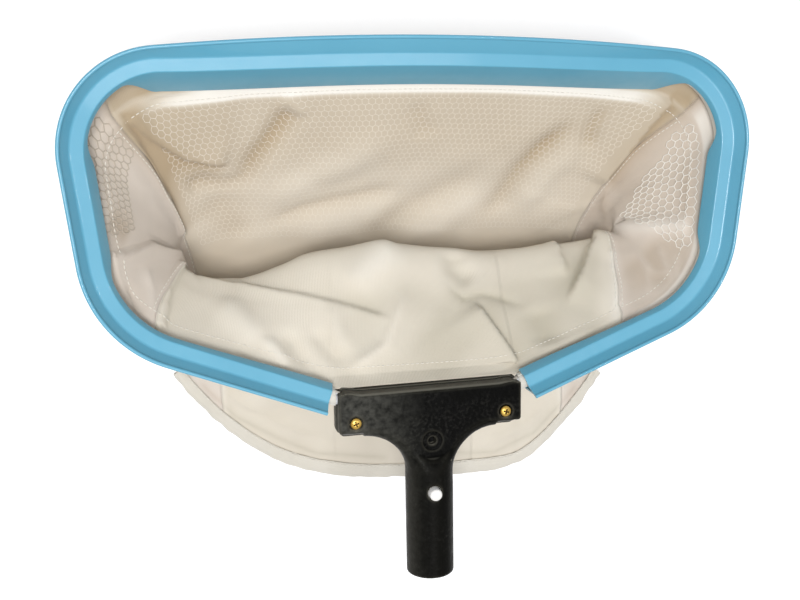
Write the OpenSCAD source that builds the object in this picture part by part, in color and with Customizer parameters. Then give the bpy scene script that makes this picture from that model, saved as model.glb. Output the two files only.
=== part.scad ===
// Leaf skimmer net: a moulded edge snapped over a round frame rod, a sewn bag
// with net panels, and a T-handle whose tube carries a pole latch.
// Millimetres, +Z up. The origin is on the ground under the middle of the part.
// Plan shapes are drawn with x to the right and y towards the leading side, in
// a frame whose height 0 is the inner top line of the rim's shelf.

/* [Rim] */
// Width of the rim over its lip
rim_width = 400; // [370:5:430]
// Radius of the bowed leading side
lead_radius = 1700; // [1300:50:2400]
// Radius of the two leading corners
corner_radius = 43; // [38:1:50]
// Length of the straight part of each side
side_length = 53; // [45:1:65]
// Angle by which each side leans in towards the handle
side_lean = 5.8; // [4:0.2:8]
// Radius of the bend between a side and its rail
bend_radius = 56; // [48:1:64]
// Slope of each rail to the leading side
rail_slope = 21.5; // [19:0.5:24]
// Gap along X between a rail's end and the handle's head
rail_gap = 3.1; // [2:0.1:5]
// Height of the rim's shelf above the ground when the bag rests on it
rim_height = 105; // [95:1:120]

/* [Edge moulding] */
// Thickness of the moulded walls
edge_wall = 1.5; // [1.2:0.1:1.8]
// Width of the flat shelf round the mouth
shelf_width = 7.2; // [6.5:0.1:8]
// Rise of the shelf over its width
shelf_rise = 1.5; // [1:0.1:2]
// Width of the raised lip outside the shelf
lip_width = 4.4; // [4:0.1:5]
// Rise of the lip over its width
lip_rise = 7; // [6:0.1:8]
// Diameter of the bead along the lip
bead_diameter = 2.1; // [1.8:0.1:2.4]
// Lean of the inner wall, as run over drop
wall_lean = 0.45; // [0.4:0.01:0.5]
// Depth of the inner wall along the leading side
lead_depth = 20; // [17:0.5:22]
// Depth of the inner wall round the corners
corner_depth = 3.5; // [3:0.5:4]
// Depth of the inner wall's lobe on each side
lobe_depth = 9; // [8:0.5:12]
// Depth of the inner wall along the rails
rail_depth = 4.5; // [4:0.5:5]
// Depth of the inner wall at the rails' handle ends
rail_end_depth = 7; // [6:0.5:8]
// Length of each sloping end of the wall's deep parts
ramp_length = 18; // [14:1:22]
// Run of each side lobe past the straight part of the side
lobe_overrun = 14; // [8:1:18]
// Depth of the outer leg that snaps behind the rod
leg_depth = 12.4; // [12.2:0.1:14]
// Reach of the snap hook under the rod
hook_reach = 1.6; // [1.2:0.1:2]

/* [Frame rod and hem] */
// Diameter of the frame rod
rod_diameter = 8; // [7.6:0.1:8.2]
// Distance of the rod's axis outside the shelf's inner line
rod_out = 4.4; // [4.3:0.1:4.8]
// Drop of the rod's axis below the shelf's inner line
rod_drop = 6.8; // [6.7:0.1:6.9]
// Length of the rod from the handle's end to its bend inside the handle
rod_entry = 18; // [15:0.5:22]
// Gap between the rod's two ends inside the handle
rod_end_gap = 28; // [22:1:34]
// Thickness of the hem sleeve round the rod
hem_thickness = 0.7; // [0.5:0.05:0.8]
// Clearance between the rod and what holds it
rod_clearance = 0.15; // [0.1:0.01:0.2]

/* [Handle head] */
// Width of the head
head_width = 112; // [104:2:120]
// Distance from the rod's axis to the head's leading edge
head_front = 13.4; // [12.5:0.1:15]
// Distance from the rod's axis to the head's rear edge
head_rear = 17; // [16:0.5:19]
// Height of the head's face above the rod's axis
face_height = 10.1; // [9:0.1:11]
// Thickness of the back plate below the rod's axis
plate_thickness = 8.2; // [7.5:0.1:9]
// Step of the back plate outside the head
plate_step = 0.6; // [0.4:0.1:1]
// Radius of the head's rear corners
head_corner = 5; // [4:0.5:6]
// Length of the slanted cut at each leading corner
corner_cut = 10; // [8:0.5:12]
// Depth of the slanted cut at each leading corner
corner_cut_depth = 2.6; // [2:0.2:3.4]
// Rounding of the face's leading edge
face_round = 2.6; // [2:0.2:3]
// Slope of the head's rear side over its height
rear_draft = 3.2; // [2:0.2:4]
// Radius of the fillets between the head and the tube
neck_fillet = 27; // [23:1:30]
// Rounding of the neck's edges
neck_round = 7; // [5:0.5:8]
// Diameter of the moulded ring on the face
ring_diameter = 12; // [10:0.5:13]
// Diameter of the hole inside the ring
ring_hole = 5; // [4:0.5:6]
// Distance of the ring behind the rod's axis
ring_offset = 19.2; // [18:0.2:21]

/* [Handle tube] */
// Outside diameter of the tube that enters the pole
tube_diameter = 29.4; // [28.6:0.1:30]
// Wall of the tube
tube_wall = 2.6; // [2.2:0.1:3]
// Length of the tube behind the neck
tube_length = 64; // [56:1:72]

/* [Screws] */
// Distance of each screw from the head's end
screw_inset = 9.8; // [9:0.2:12]
// Distance of the screws behind the rod's axis
screw_offset = 7.2; // [6.8:0.1:8]
// Thread diameter of the screws
screw_diameter = 3.5; // [3:0.1:4]
// Head diameter of the screws
screw_head = 7; // [6.4:0.1:7.4]
// Height of the domed screw head
screw_head_height = 2.4; // [2:0.1:2.8]
// Width across the flats of the nuts
nut_flats = 6; // [5.6:0.1:6.4]
// Thickness of the nuts
nut_thickness = 2.8; // [2.2:0.1:3.2]

/* [Pole latch] */
// Diameter of the latch buttons
button_diameter = 8; // [7:0.1:8.4]
// Height of a button above the tube
button_height = 3.4; // [2.8:0.1:4]
// Distance of the buttons behind the neck
button_offset = 9.4; // [8.5:0.1:14]
// Thickness of the latch's spring strip
strip_thickness = 1.2; // [1:0.1:1.4]
// Width of the latch's spring strip
strip_width = 9; // [8:0.5:10]
// Length of each spring arm between the bow and the button
arm_length = 26; // [20:1:32]
// Travel of a button
button_travel = 4; // [3.8:0.1:4.2]
// Gap round a button in its hole
button_gap = 0.25; // [0.15:0.05:0.4]

/* [Bag] */
// Thickness of the bag's cloth
cloth = 1; // [0.8:0.1:1.2]
// Thickness of the net layers
net_thickness = 0.5; // [0.4:0.05:0.6]
// Gap that keeps soft pieces clear of their neighbours
soft_gap = 0.3; // [0.25:0.05:0.4]
// Reach of the bag's end behind the rails' ends
bag_reach = 90; // [80:2:100]
// Width of the bag at its end
bag_width = 300; // [280:2:320]
// Distance of the bag's far fold in front of the rails' ends
fold_front = 74; // [66:2:82]
// Height of the near panel's crest below the shelf
crest_drop = 54; // [48:1:60]
// How far the end seam curves forward at the bag's sides
end_bow = 74; // [60:2:84]
// Distance between the two layers at the end seam
end_gap = 3; // [2.6:0.1:4]
// Width of the binding on the end seam
binding_width = 6; // [5:0.5:8]

/* [Hidden] */
$fn = 64;
through = 1;

function unit(v) = v / norm(v);
function left_of(v) = [-v.y, v.x];

// The rod, and the hem round it, whose flat sides clear the rod
rod_radius = rod_diameter / 2;
groove_radius = rod_radius + rod_clearance;
hem_sides = 10;
hem_inner = groove_radius / cos(180 / hem_sides);
hem_radius = hem_inner + hem_thickness;

// The edge's section, with x outward from the path and y up
shelf_corner = [shelf_width, shelf_rise];
lip_tip = [shelf_width + lip_width, shelf_rise + lip_rise];
shelf_normal = left_of(unit(shelf_corner));
lip_normal = left_of(unit(lip_tip - shelf_corner));
bead_back = lip_tip - bead_diameter * 0.8 * lip_normal;

// Plan path of the shelf's inner top line, as turning angles of the heading
side_turn = 90 + side_lean;
rail_turn = 180 - rail_slope;
path_half_width = rim_width / 2 - bead_back.x;
lead_half = asin((path_half_width - corner_radius) / (lead_radius - corner_radius));
lead_y = 136.6;
function outward(turn) = [sin(turn), cos(turn)];
function heading(turn) = [cos(turn), -sin(turn)];
lead_centre = [0, lead_y - lead_radius];
corner_centre = lead_centre + (lead_radius - corner_radius) * outward(lead_half);
side_start = corner_centre + corner_radius * outward(side_turn);
side_end = side_start + side_length * heading(side_turn);
bend_centre = side_end - bend_radius * outward(side_turn);
rail_start = bend_centre + bend_radius * outward(rail_turn);
rail_end_x = head_width / 2 + rail_gap;
rail_length = (rail_start.x - rail_end_x) / cos(rail_slope);
rail_end = rail_start + rail_length * heading(rail_turn);

// The same path as a run s from the middle of the leading side to the handle
lead_run = lead_radius * lead_half * PI / 180;
corner_run = corner_radius * (side_turn - lead_half) * PI / 180;
bend_run = bend_radius * (rail_turn - side_turn) * PI / 180;
corner_at = lead_run;
side_at = corner_at + corner_run;
bend_at = side_at + side_length;
rail_at = bend_at + bend_run;
tail_at = rail_at + rail_length;
loop_half = tail_at + rail_end.x;

function turn_at(s) =
    s < corner_at ? s / lead_radius * 180 / PI :
    s < side_at ? lead_half + (s - corner_at) / corner_radius * 180 / PI :
    s < bend_at ? side_turn :
    s < rail_at ? side_turn + (s - bend_at) / bend_radius * 180 / PI : rail_turn;
function path_at(s) =
    s < corner_at ? lead_centre + lead_radius * outward(turn_at(s)) :
    s < side_at ? corner_centre + corner_radius * outward(turn_at(s)) :
    s < bend_at ? side_start + (s - side_at) * heading(side_turn) :
    s < rail_at ? bend_centre + bend_radius * outward(turn_at(s)) :
    rail_start + (s - rail_at) * heading(rail_turn);
function mirror_x(p, flip) = flip ? [-p.x, p.y, p.z] : p;
// The point at a signed run s, at [outward, up] from the path; left of 0 is mirrored
function rim_point(s, at) =
    let (run = abs(s), p = path_at(run) + at.x * outward(turn_at(run)))
    mirror_x([p.x, p.y, at.y], s < 0);

// The rod's route inside the handle
rod_exit = rail_end + rod_out * outward(rail_turn);
rod_bend_x = head_width / 2 - rod_entry;
rod_bend_run = (rod_exit.x - rod_bend_x) / cos(rail_slope);
rod_bend_point = rod_exit + rod_bend_run * heading(rail_turn);
rod_y = rod_bend_point.y;

// The handle, measured from the rod's straight ends
head_y = rod_y - head_rear;
head_top_y = rod_y + head_front;
face_z = -rod_drop + face_height;
plate_z = -rod_drop - plate_thickness;
tube_radius = tube_diameter / 2;
bore_radius = tube_radius - tube_wall;
neck_y = head_y - neck_fillet;
tube_end_y = neck_y - tube_length;
button_y = neck_y - button_offset;
ring_y = rod_y - ring_offset;
screw_x = head_width / 2 - screw_inset;
screw_y = rod_y - screw_offset;
slope_start_y = ring_y - ring_diameter / 2 - 3;
slope_run = 12;
bore_end_y = slope_start_y - slope_run - tube_wall;
counterbore_radius = screw_head / 2 + 0.8;
counterbore_depth = 1.4;
screw_seat_z = face_z - counterbore_depth;
screw_hole_radius = screw_diameter / 2 + 0.2;
nut_pocket_depth = nut_thickness + 0.6;

// The latch strip inside the tube
pad_radius = button_diameter / 2 + 1.4;
pad_top = bore_radius - 1.5;
bow_radius = 3.2;
arm_end_y = button_y - pad_radius;
bow_face_y = arm_end_y - arm_length;
apex_gap = 0.2;

// The whole part is centred along Y between the lip and the tube's end
lip_y = lead_y + bead_back.x;
shift_y = -(lip_y + tube_end_y) / 2;
module placed() {
    translate([0, shift_y, rim_height]) children();
}
module both_sides() {
    for (side = [0, 1]) mirror([side, 0, 0]) children();
}

// ---- Sweeps along the rim's path ----
// Runs at which a sweep has a section: close in the bends, wide on the straights
function steps(from, to, count) = [for (i = [1:count]) from + (to - from) * i / count];
right_runs = concat(
    steps(0, corner_at - ramp_length / 2, 5), steps(corner_at - ramp_length / 2, corner_at, 2),
    steps(corner_at, side_at, 11), steps(side_at, bend_at, 4),
    steps(bend_at, rail_at, 9), steps(rail_at, tail_at, 5)
);
function both_ways(runs) =
    concat([for (i = [len(runs) - 1:-1:0]) -runs[i]], [0], runs);
rim_runs = both_ways(right_runs);

// Side faces of a sweep: rings of the same count, one after another
function ring_faces(rings, count, first, flip) = [
    for (i = [0:rings - 2]) for (k = [0:count - 1])
        let (a = first + i * count + k, b = first + i * count + (k + 1) % count)
        each flip ? [[a, b + count, b], [a, a + count, b + count]]
            : [[a, b, b + count], [a, b + count, a + count]]
];
function fan(first, count, flip) = [
    for (k = [1:count - 2]) flip ? [first, first + k + 1, first + k] : [first, first + k, first + k + 1]
];
// A solid of round sections of the given radius, along rings of [centre, across]
module round_sweep(route, radius, sides) {
    points = [
        for (r = route) for (k = [0:sides - 1])
            let (a = 360 * (k + 0.5) / sides)
            r[0] + radius * cos(a) * r[1] + radius * sin(a) * [0, 0, 1]
    ];
    last = (len(route) - 1) * sides;
    polyhedron(points, concat(
        ring_faces(len(route), sides, 0, true), fan(0, sides, false), fan(last, sides, true)));
}
function rim_station(s) =
    let (inner = rim_point(s, [rod_out, -rod_drop]), outer = rim_point(s, [rod_out + 1, -rod_drop]))
    [inner, s < 0 ? outer - inner : outer - inner];

// ---- The moulded edge ----
// Points of a round of the given radius in the corner b of the line a-b-c
function corner_round(a, b, c, radius, steps) =
    let (u = unit(a - b), v = unit(c - b))
    let (half = acos(u * v) / 2)
    let (middle = b + radius / sin(half) * unit(u + v))
    let (p = b + radius / tan(half) * u - middle, q = b + radius / tan(half) * v - middle)
    let (a0 = atan2(p.y, p.x), a1 = atan2(q.y, q.x))
    let (turn = (a1 - a0 + 540) % 360 - 180)
    [for (i = [0:steps]) middle + radius * [cos(a0 + turn * i / steps), sin(a0 + turn * i / steps)]];

edge_round = 1;
corner_fillet = 2.4;
leg_inside = rod_out + hem_radius + soft_gap;
leg_outside = leg_inside + edge_wall;
leg_top = shelf_rise + (leg_inside - shelf_width) / lip_width * lip_rise - edge_wall;
hook_height = 1.2;

// The section is a strip between a front line and a back line of as many points
function front_line(depth) = concat(
    [[-wall_lean * depth, -depth]],
    corner_round([-wall_lean * depth, -depth], [0, 0], shelf_corner, edge_round, 2),
    corner_round([0, 0], shelf_corner, lip_tip, corner_fillet, 2),
    [lip_tip - bead_diameter * 0.6 * unit(lip_tip - shelf_corner), lip_tip + [-0.5, 0.9], lip_tip + [0.5, 0.5]]
);
function back_line(depth) =
    let (foot = [-wall_lean * depth, -depth], wall_back = -edge_wall * left_of(unit(-foot)))
    [
        foot + wall_back, wall_back - [wall_lean * 1.6, 1.6], wall_back + [0.25, -0.7],
        shelf_corner - edge_wall * shelf_normal - [4, 4 * shelf_rise / shelf_width],
        shelf_corner - edge_wall * shelf_normal, [leg_inside, leg_top], [leg_outside, leg_top + edge_wall * 0.7],
        lip_tip - edge_wall * lip_normal - [1.4, 1.6], lip_tip - bead_diameter * lip_normal * 0.6 - [0.5, 0.9],
        bead_back
    ];
// The snap leg hangs between two points of the back line
leg_root = 5;
function leg_line() = [
    [leg_inside, hook_height * 1.4 - leg_depth], [leg_inside - hook_reach, hook_height - leg_depth],
    [leg_inside - hook_reach, -leg_depth], [leg_outside, -leg_depth]
];
// How deep the inner wall is at a run
function ease(from, to, share) = from + (to - from) * (1 - cos(180 * min(max(share, 0), 1))) / 2;
lead_ramp_at = corner_at + ramp_length * 0.1;
lobe_from = side_at - lobe_overrun;
lobe_to = bend_at + lobe_overrun - ramp_length;
function depth_at(s) =
    s < lead_ramp_at + ramp_length ? ease(lead_depth, corner_depth, (s - lead_ramp_at) / ramp_length) :
    s < (side_at + bend_at) / 2 ? ease(corner_depth, lobe_depth, (s - lobe_from) / ramp_length) :
    s < bend_at + bend_run / 2 ? ease(lobe_depth, rail_depth, (s - lobe_to) / ramp_length) :
    ease(rail_depth, rail_end_depth, (s - rail_at) / rail_length);
function edge_outline(depth) =
    let (front = front_line(depth), back = back_line(depth), n = len(front))
    concat(
        front,
        [for (i = [n - 1:-1:leg_root + 1]) back[i]],
        [for (i = [3:-1:0]) leg_line()[i]],
        [for (i = [leg_root:-1:0]) back[i]]
    );
module rim_edge() {
    strip = len(front_line(lead_depth));
    count = 2 * strip + 4;
    points = [for (s = rim_runs) for (q = edge_outline(depth_at(abs(s)))) rim_point(s, q)];
    // Outline numbers of the back line's and the leg's points
    function back_id(i) = i > leg_root ? 2 * strip - 1 - i : 2 * strip + 3 - i;
    leg_ids = [for (i = [0:3]) 2 * strip + 1 - leg_root - i + 1];
    quads = concat(
        [for (i = [0:strip - 2]) [i, i + 1, back_id(i + 1), back_id(i)]],
        [[back_id(leg_root), back_id(leg_root + 1), leg_ids[3], leg_ids[0]],
            [leg_ids[0], leg_ids[3], leg_ids[2], leg_ids[1]]]
    );
    cap = [for (q = quads) each [[q[0], q[1], q[2]], [q[0], q[2], q[3]]]];
    last = (len(rim_runs) - 1) * count;
    start_cap = [for (f = cap) [f[2], f[1], f[0]]];
    end_cap = [for (f = cap) [f[0] + last, f[1] + last, f[2] + last]];
    color("steelblue") placed()
        polyhedron(points, concat(ring_faces(len(rim_runs), count, 0, false), start_cap, end_cap));
}

// ---- The frame rod and its hem ----
rod_sides = 14;
// Rings inside the handle: the mitred bend and the rod's end
mitre = [[1, 0, 0], [sin(rail_slope / 2), -cos(rail_slope / 2), 0] / cos(rail_slope / 2)];
function tail_station(x, y, across, flip) =
    [mirror_x([x, y, -rod_drop], flip), flip ? [-across.x, across.y, 0] : across];
function tail_route(flip) = [
    tail_station(rod_bend_x, rod_y, mitre[1], flip),
    tail_station(rod_end_gap / 2, rod_y, [0, -1, 0], flip)
];
module frame_rod() {
    left = tail_route(true);
    route = concat([left[1], left[0]], [for (s = rim_runs) rim_station(s)], tail_route(false));
    color("silver") placed() round_sweep(route, rod_radius, rod_sides);
}
hem_tail = (rail_gap - plate_step + (rod_out - hem_radius) * sin(rail_slope) - soft_gap)
    / cos(rail_slope);
hem_runs = both_ways(concat(right_runs, [tail_at + hem_tail]));
module hem_tape() {
    function ring(r) = [
        for (s = hem_runs) for (k = [0:hem_sides - 1])
            let (a = 360 * (k + 0.5) / hem_sides) rim_point(s, [rod_out + r * cos(a), r * sin(a) - rod_drop])
    ];
    count = len(hem_runs) * hem_sides;
    last = count - hem_sides;
    function collar(first, flip) = [
        for (k = [0:hem_sides - 1])
            let (a = first + k, b = first + (k + 1) % hem_sides)
            each flip ? [[a, b + count, b], [a, a + count, b + count]]
                : [[a, b, b + count], [a, b + count, a + count]]
    ];
    color("ivory") placed() polyhedron(
        concat(ring(hem_radius), ring(hem_inner)),
        concat(
            ring_faces(len(hem_runs), hem_sides, 0, true), ring_faces(len(hem_runs), hem_sides, count, false),
            collar(0, false), collar(last, true)
        )
    );
}

// ---- The handle ----
function arc_points(centre, radius, from, to, steps) = [
    for (i = [0:steps])
        let (a = from + (to - from) * i / steps) centre + radius * [cos(a), sin(a)]
];
// Right half of the head in plan, then mirrored, grown by a step
module head_outline(step) {
    right = head_width / 2 + step;
    top = head_top_y + step;
    bottom = head_y - step;
    half = concat(
        [[0, top], [right - corner_cut, top], [right, top - corner_cut_depth]],
        arc_points([right - head_corner, bottom + head_corner], head_corner, 0, -90, 6),
        [[0, bottom]]
    );
    mirrored = [for (i = [len(half) - 2:-1:1]) [-half[i].x, half[i].y]];
    polygon(concat(half, mirrored));
}
// The web between the head and the tube, with round-edged fillets
neck_inset = 0.6;
module neck(reach, height) {
    fillet_x = tube_radius - neck_inset + neck_fillet;
    top = height - neck_round;
    cutter = concat(
        [[0, -through], [neck_fillet, -through], [neck_fillet, top]],
        arc_points([neck_fillet + neck_round, top], neck_round, 180, 90, 6),
        [[neck_fillet + neck_round, height + through], [0, height + through]]
    );
    difference() {
        translate([-fillet_x, neck_y, 0]) cube([2 * fillet_x, reach, height]);
        both_sides() translate([fillet_x, neck_y, 0]) rotate_extrude() polygon(cutter);
    }
}
// The tube's start, cut to a slope down to the head's face
module tube_slope(height, run_from) {
    rise = tube_radius - height;
    translate([0, run_from, height]) rotate([-atan(rise / slope_run), 0, 0])
        translate([-tube_diameter, -slope_run * 1.2, 0])
            cube([2 * tube_diameter, neck_fillet + 2 * head_rear + 2 * slope_run, tube_diameter]);
}

// Side view of the head: round leading edge above, sloping rear side
module head_side() {
    profile = concat(
        [[head_top_y, plate_z - through], [head_top_y, face_z - face_round]],
        arc_points([head_top_y - face_round, face_z - face_round], face_round, 0, 90, 6),
        arc_points([head_y + rear_draft + face_round, face_z - face_round], face_round, 90, 165, 4),
        [[head_y, -rod_drop], [head_y, plate_z - through]]
    );
    translate([-head_width, 0, 0]) rotate([90, 0, 90]) linear_extrude(2 * head_width) polygon(profile);
}
module screw_places() {
    for (side = [-1, 1]) translate([side * screw_x, screw_y, 0]) children();
}
module along_tube(y) {
    translate([0, y, -rod_drop]) rotate([90, 0, 0]) children();
}
// The two straight bores, met in a mitre, that the rod's end lies in
groove_clearance = 0.2;
module rod_groove() {
    over = groove_radius * 2 * tan(rail_slope / 2);
    both_sides() translate([rod_bend_x, rod_y, -rod_drop]) {
        rotate([0, 90, rail_slope]) translate([0, 0, -over])
            cylinder(r = groove_radius + groove_clearance, h = rod_bend_run + over);
        translate([over, 0, 0]) rotate([0, -90, 0])
            cylinder(r = groove_radius + groove_clearance, h = rod_bend_x - rod_end_gap / 2 + over + through);
    }
}
split_y = head_y - plate_step - 0.2;
module handle_body() {
    color([0.08, 0.08, 0.085]) placed() difference() {
        union() {
            intersection() {
                translate([0, 0, -rod_drop]) linear_extrude(face_height) head_outline(0);
                head_side();
            }
            translate([0, 0, -rod_drop]) neck(head_rear + neck_fillet, face_height);
            translate([0, 0, -rod_drop]) mirror([0, 0, 1]) neck(split_y - neck_y, plate_thickness);
            difference() {
                along_tube(split_y) cylinder(d = tube_diameter, h = split_y - tube_end_y);
                translate([0, 0, -rod_drop]) tube_slope(face_height, slope_start_y);
                translate([0, 0, -rod_drop]) mirror([0, 0, 1]) tube_slope(plate_thickness, split_y);
            }
        }
        along_tube(bore_end_y) cylinder(r = bore_radius, h = bore_end_y - tube_end_y + through);
        rod_groove();
        screw_places() {
            translate([0, 0, -rod_drop - through])
                cylinder(r = screw_hole_radius, h = face_height + 2 * through);
            translate([0, 0, screw_seat_z]) cylinder(r = counterbore_radius, h = 2 * through + 2);
        }
        translate([0, ring_y, face_z - 0.7]) cylinder(d = ring_diameter, h = 2 * through);
        translate([0, ring_y, face_z - 5]) cylinder(d = ring_hole, h = 5 + through);
        translate([0, button_y, -rod_drop - tube_radius - through])
            cylinder(r = button_diameter / 2 + button_gap, h = tube_diameter + 2 * through);
    }
}
module handle_back_plate() {
    color([0.1, 0.1, 0.105]) placed() difference() {
        translate([0, 0, plate_z]) linear_extrude(plate_thickness) head_outline(plate_step);
        rod_groove();
        screw_places() {
            translate([0, 0, plate_z - through])
                cylinder(r = screw_hole_radius, h = plate_thickness + 2 * through);
            translate([0, 0, plate_z - through])
                cylinder(r = nut_flats / sqrt(3) + 0.1, h = nut_pocket_depth + through, $fn = 6);
        }
    }
}

// ---- Screws and nuts ----
module screw() {
    shank = screw_seat_z - plate_z - 0.4;
    slot = screw_diameter * 0.28;
    difference() {
        union() {
            intersection() {
                cylinder(d = screw_head, h = screw_head_height);
                translate([0, 0, screw_head_height - screw_head * 0.75])
                    sphere(d = screw_head * 1.5);
            }
            translate([0, 0, -shank]) cylinder(d = screw_diameter, h = shank);
        }
        for (a = [0, 90]) rotate(a)
            translate([-screw_head * 0.3, -slot / 2, screw_head_height * 0.35])
                cube([screw_head * 0.6, slot, screw_head_height]);
    }
}
module nut() {
    difference() {
        cylinder(r = nut_flats / sqrt(3), h = nut_thickness, $fn = 6);
        translate([0, 0, -through])
            cylinder(r = screw_diameter / 2 + 0.05, h = nut_thickness + 2 * through);
    }
}
module screw_left() {
    color("gold") placed() translate([-screw_x, screw_y, screw_seat_z]) rotate(20) screw();
}
module screw_right() {
    color("gold") placed() translate([screw_x, screw_y, screw_seat_z]) rotate(-15) screw();
}
module nut_left() {
    color("gold") placed()
        translate([-screw_x, screw_y, plate_z + nut_pocket_depth - nut_thickness]) nut();
}
module nut_right() {
    color("gold") placed()
        translate([screw_x, screw_y, plate_z + nut_pocket_depth - nut_thickness]) nut();
}

// ---- Pole latch: a V of spring strip with a button on each arm ----
// Its parts are drawn about the tube's axis, for the front; the rear is mirrored.
module latch_side(rear) {
    translate([0, 0, -rod_drop]) mirror([0, 0, rear]) children();
}
module clip_bow() {
    color("whitesmoke") placed() intersection() {
        translate([-strip_width / 2, bow_face_y, -rod_drop])
            rotate([0, 90, 0]) cylinder(r = bow_radius, h = strip_width);
        translate([-strip_width, bow_face_y - bow_radius - through, -rod_drop - bow_radius - through])
            cube([2 * strip_width, bow_radius + through, 2 * bow_radius + 2 * through]);
    }
}
module clip_arm() {
    top = pad_top;
    translate([-strip_width / 2, 0, 0]) rotate([90, 0, 90]) linear_extrude(strip_width) polygon([
        [bow_face_y, apex_gap], [arm_end_y, top - strip_thickness],
        [arm_end_y, top], [bow_face_y, apex_gap + strip_thickness * 1.4]
    ]);
}
module clip_button() {
    translate([0, button_y, pad_top - strip_thickness]) {
        cylinder(r = pad_radius, h = strip_thickness);
        cylinder(d = button_diameter, h = tube_radius + button_height - 1 - pad_top + strip_thickness);
        intersection() {
            cylinder(d = button_diameter, h = tube_radius + button_height - pad_top + strip_thickness);
            translate([0, 0, tube_radius + button_height - pad_top + strip_thickness - button_diameter])
                sphere(d = 2 * button_diameter);
        }
    }
}
module clip_arm_front() {
    color("whitesmoke") placed() latch_side(0) clip_arm();
}
module clip_arm_rear() {
    color("whitesmoke") placed() latch_side(1) clip_arm();
}
module clip_button_front() {
    color("white") placed() latch_side(0) clip_button();
}
module clip_button_rear() {
    color("white") placed() latch_side(1) clip_button();
}

// ---- The bag ----
// Its surface is a grid of lines: spokes run from the hem to the end seam, and
// rows run round the bag. Spoke 0 starts at the middle of the leading side.
spokes = 48;
rows = 14;
far_spoke = 9;
near_spoke = 16;
// The mouth's outline goes on across the handle's head
function mouth_at(s) = s < tail_at ? path_at(s) : [rail_end.x - (s - tail_at), rail_end.y];

// Smooth value at v of a list of values set at even steps from 0 to 1
function smooth_at(list, v) =
    let (n = len(list) - 1, t = min(max(v, 0), 1) * n, i = min(floor(t), n - 1), f = t - i)
    let (p0 = list[max(i - 1, 0)], p1 = list[i], p2 = list[i + 1], p3 = list[min(i + 2, n)])
    p1 + f * ((p2 - p0) / 2 + f * (p0 - 2.5 * p1 + 2 * p2 - p3 / 2
        + f * (1.5 * p1 - 1.5 * p2 + p3 / 2 - p0 / 2)));

// Side views of the bag's middle lines, as [y, height], from the throat to the end.
// Their bends are shares of the mouth's length and of the rim's height.
floor_z = -rim_height + cloth;
mouth_length = lead_y - rail_end.y;
end_y = rail_end.y - bag_reach;
fold_y = rail_end.y + fold_front;
throat_z = -rod_drop - hem_radius - 4 * cloth;
throat_inset = 4 * cloth;
function behind(y, share, z) = [y + share * mouth_length, z];
far_line = [
    [lead_y - wall_lean * lead_depth - cloth, -lead_depth - 5 * cloth],
    [lead_y - 0.225 * mouth_length, -lead_depth - 0.286 * rim_height],
    behind(fold_y, 0.128, floor_z + 0.133 * rim_height),
    behind(fold_y, -0.086, floor_z),
    behind(end_y, 0.353, floor_z),
    behind(end_y, 0.16, floor_z),
    [end_y, floor_z]
];
near_line = [
    [rail_end.y + throat_inset, throat_z],
    behind(rail_end.y, 0.203, -crest_drop * 0.62),
    [fold_y, -crest_drop],
    behind(fold_y, -0.107, floor_z + 0.152 * rim_height),
    behind(end_y, 0.374, floor_z + 0.076 * rim_height),
    behind(end_y, 0.182, floor_z + end_gap + 2 * cloth),
    [end_y, floor_z + end_gap]
];
side_line = [
    behind(rail_end.y, 0.535, throat_z),
    behind(rail_end.y, 0.47, -rim_height * 0.5),
    behind(rail_end.y, 0.342, -rim_height * 0.72),
    behind(rail_end.y, 0.128, floor_z + 0.143 * rim_height),
    behind(rail_end.y, -0.16, floor_z + 0.076 * rim_height),
    behind(end_y, 0.182, floor_z + end_gap),
    [end_y, floor_z + end_gap / 2]
];
width_line = [
    path_half_width - throat_inset, path_half_width * 0.84, path_half_width * 0.76,
    path_half_width * 0.74, bag_width * 0.48, bag_width / 2, bag_width / 2
];
bow_line = [0, 0, 0, 0.1, 0.45, 0.85, 1];
bow_power = 2.9;
side_share = 0.1;

// How far a spoke stands towards the leading side, from -1 to 1
function share_at(s) =
    let (y = mouth_at(s).y, middle = (lead_y + rail_end.y) / 2, half = (lead_y - rail_end.y) / 2)
    (y - middle) / half;
// A point of the body of the bag: v runs from the throat to the end seam
function body_point(s, v) =
    let (share = share_at(s), x = mouth_at(s).x / path_half_width)
    let (far = smooth_at(far_line, v), near = smooth_at(near_line, v))
    let (side = smooth_at(side_line, v), wide = smooth_at(width_line, v))
    let (up = max(share - side_share, 0) / (1 - side_share))
    let (down = max(side_share - share, 0) / (1 + side_share))
    let (yz = side + up * (far - side) + down * (near - side))
    [x * wide, yz.x + end_bow * smooth_at(bow_line, v) * pow(abs(x), bow_power), yz.y];
// The first rows: from under the hem, round the foot of the moulded wall
function hem_point(s) =
    let (p = mouth_at(s) + rod_out * outward(turn_at(s)), z = -rod_drop - hem_radius - soft_gap - cloth)
    s < tail_at ? [p.x, max(p.y, rail_end.y), z]
        : [mouth_at(s).x, head_top_y + plate_step + soft_gap + cloth, z];
function spoke_point(k, j) =
    let (m = (k + spokes) % spokes, flip = m > spokes / 2)
    let (s = loop_half * (flip ? spokes - m : m) / (spokes / 2))
    mirror_x(j == 0 ? hem_point(s) : body_point(s, (j - 1) / (rows - 1)), flip);
// The way into the bag at a grid point
function inward(k, j) =
    let (a = spoke_point(k + 1, j) - spoke_point(k - 1, j))
    let (b = spoke_point(k, min(j + 1, rows)) - spoke_point(k, max(j - 1, 0)))
    unit(cross(b, a));
function bag_point(k, j, depth) = spoke_point(k, j) + depth * inward(k, j);

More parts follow.
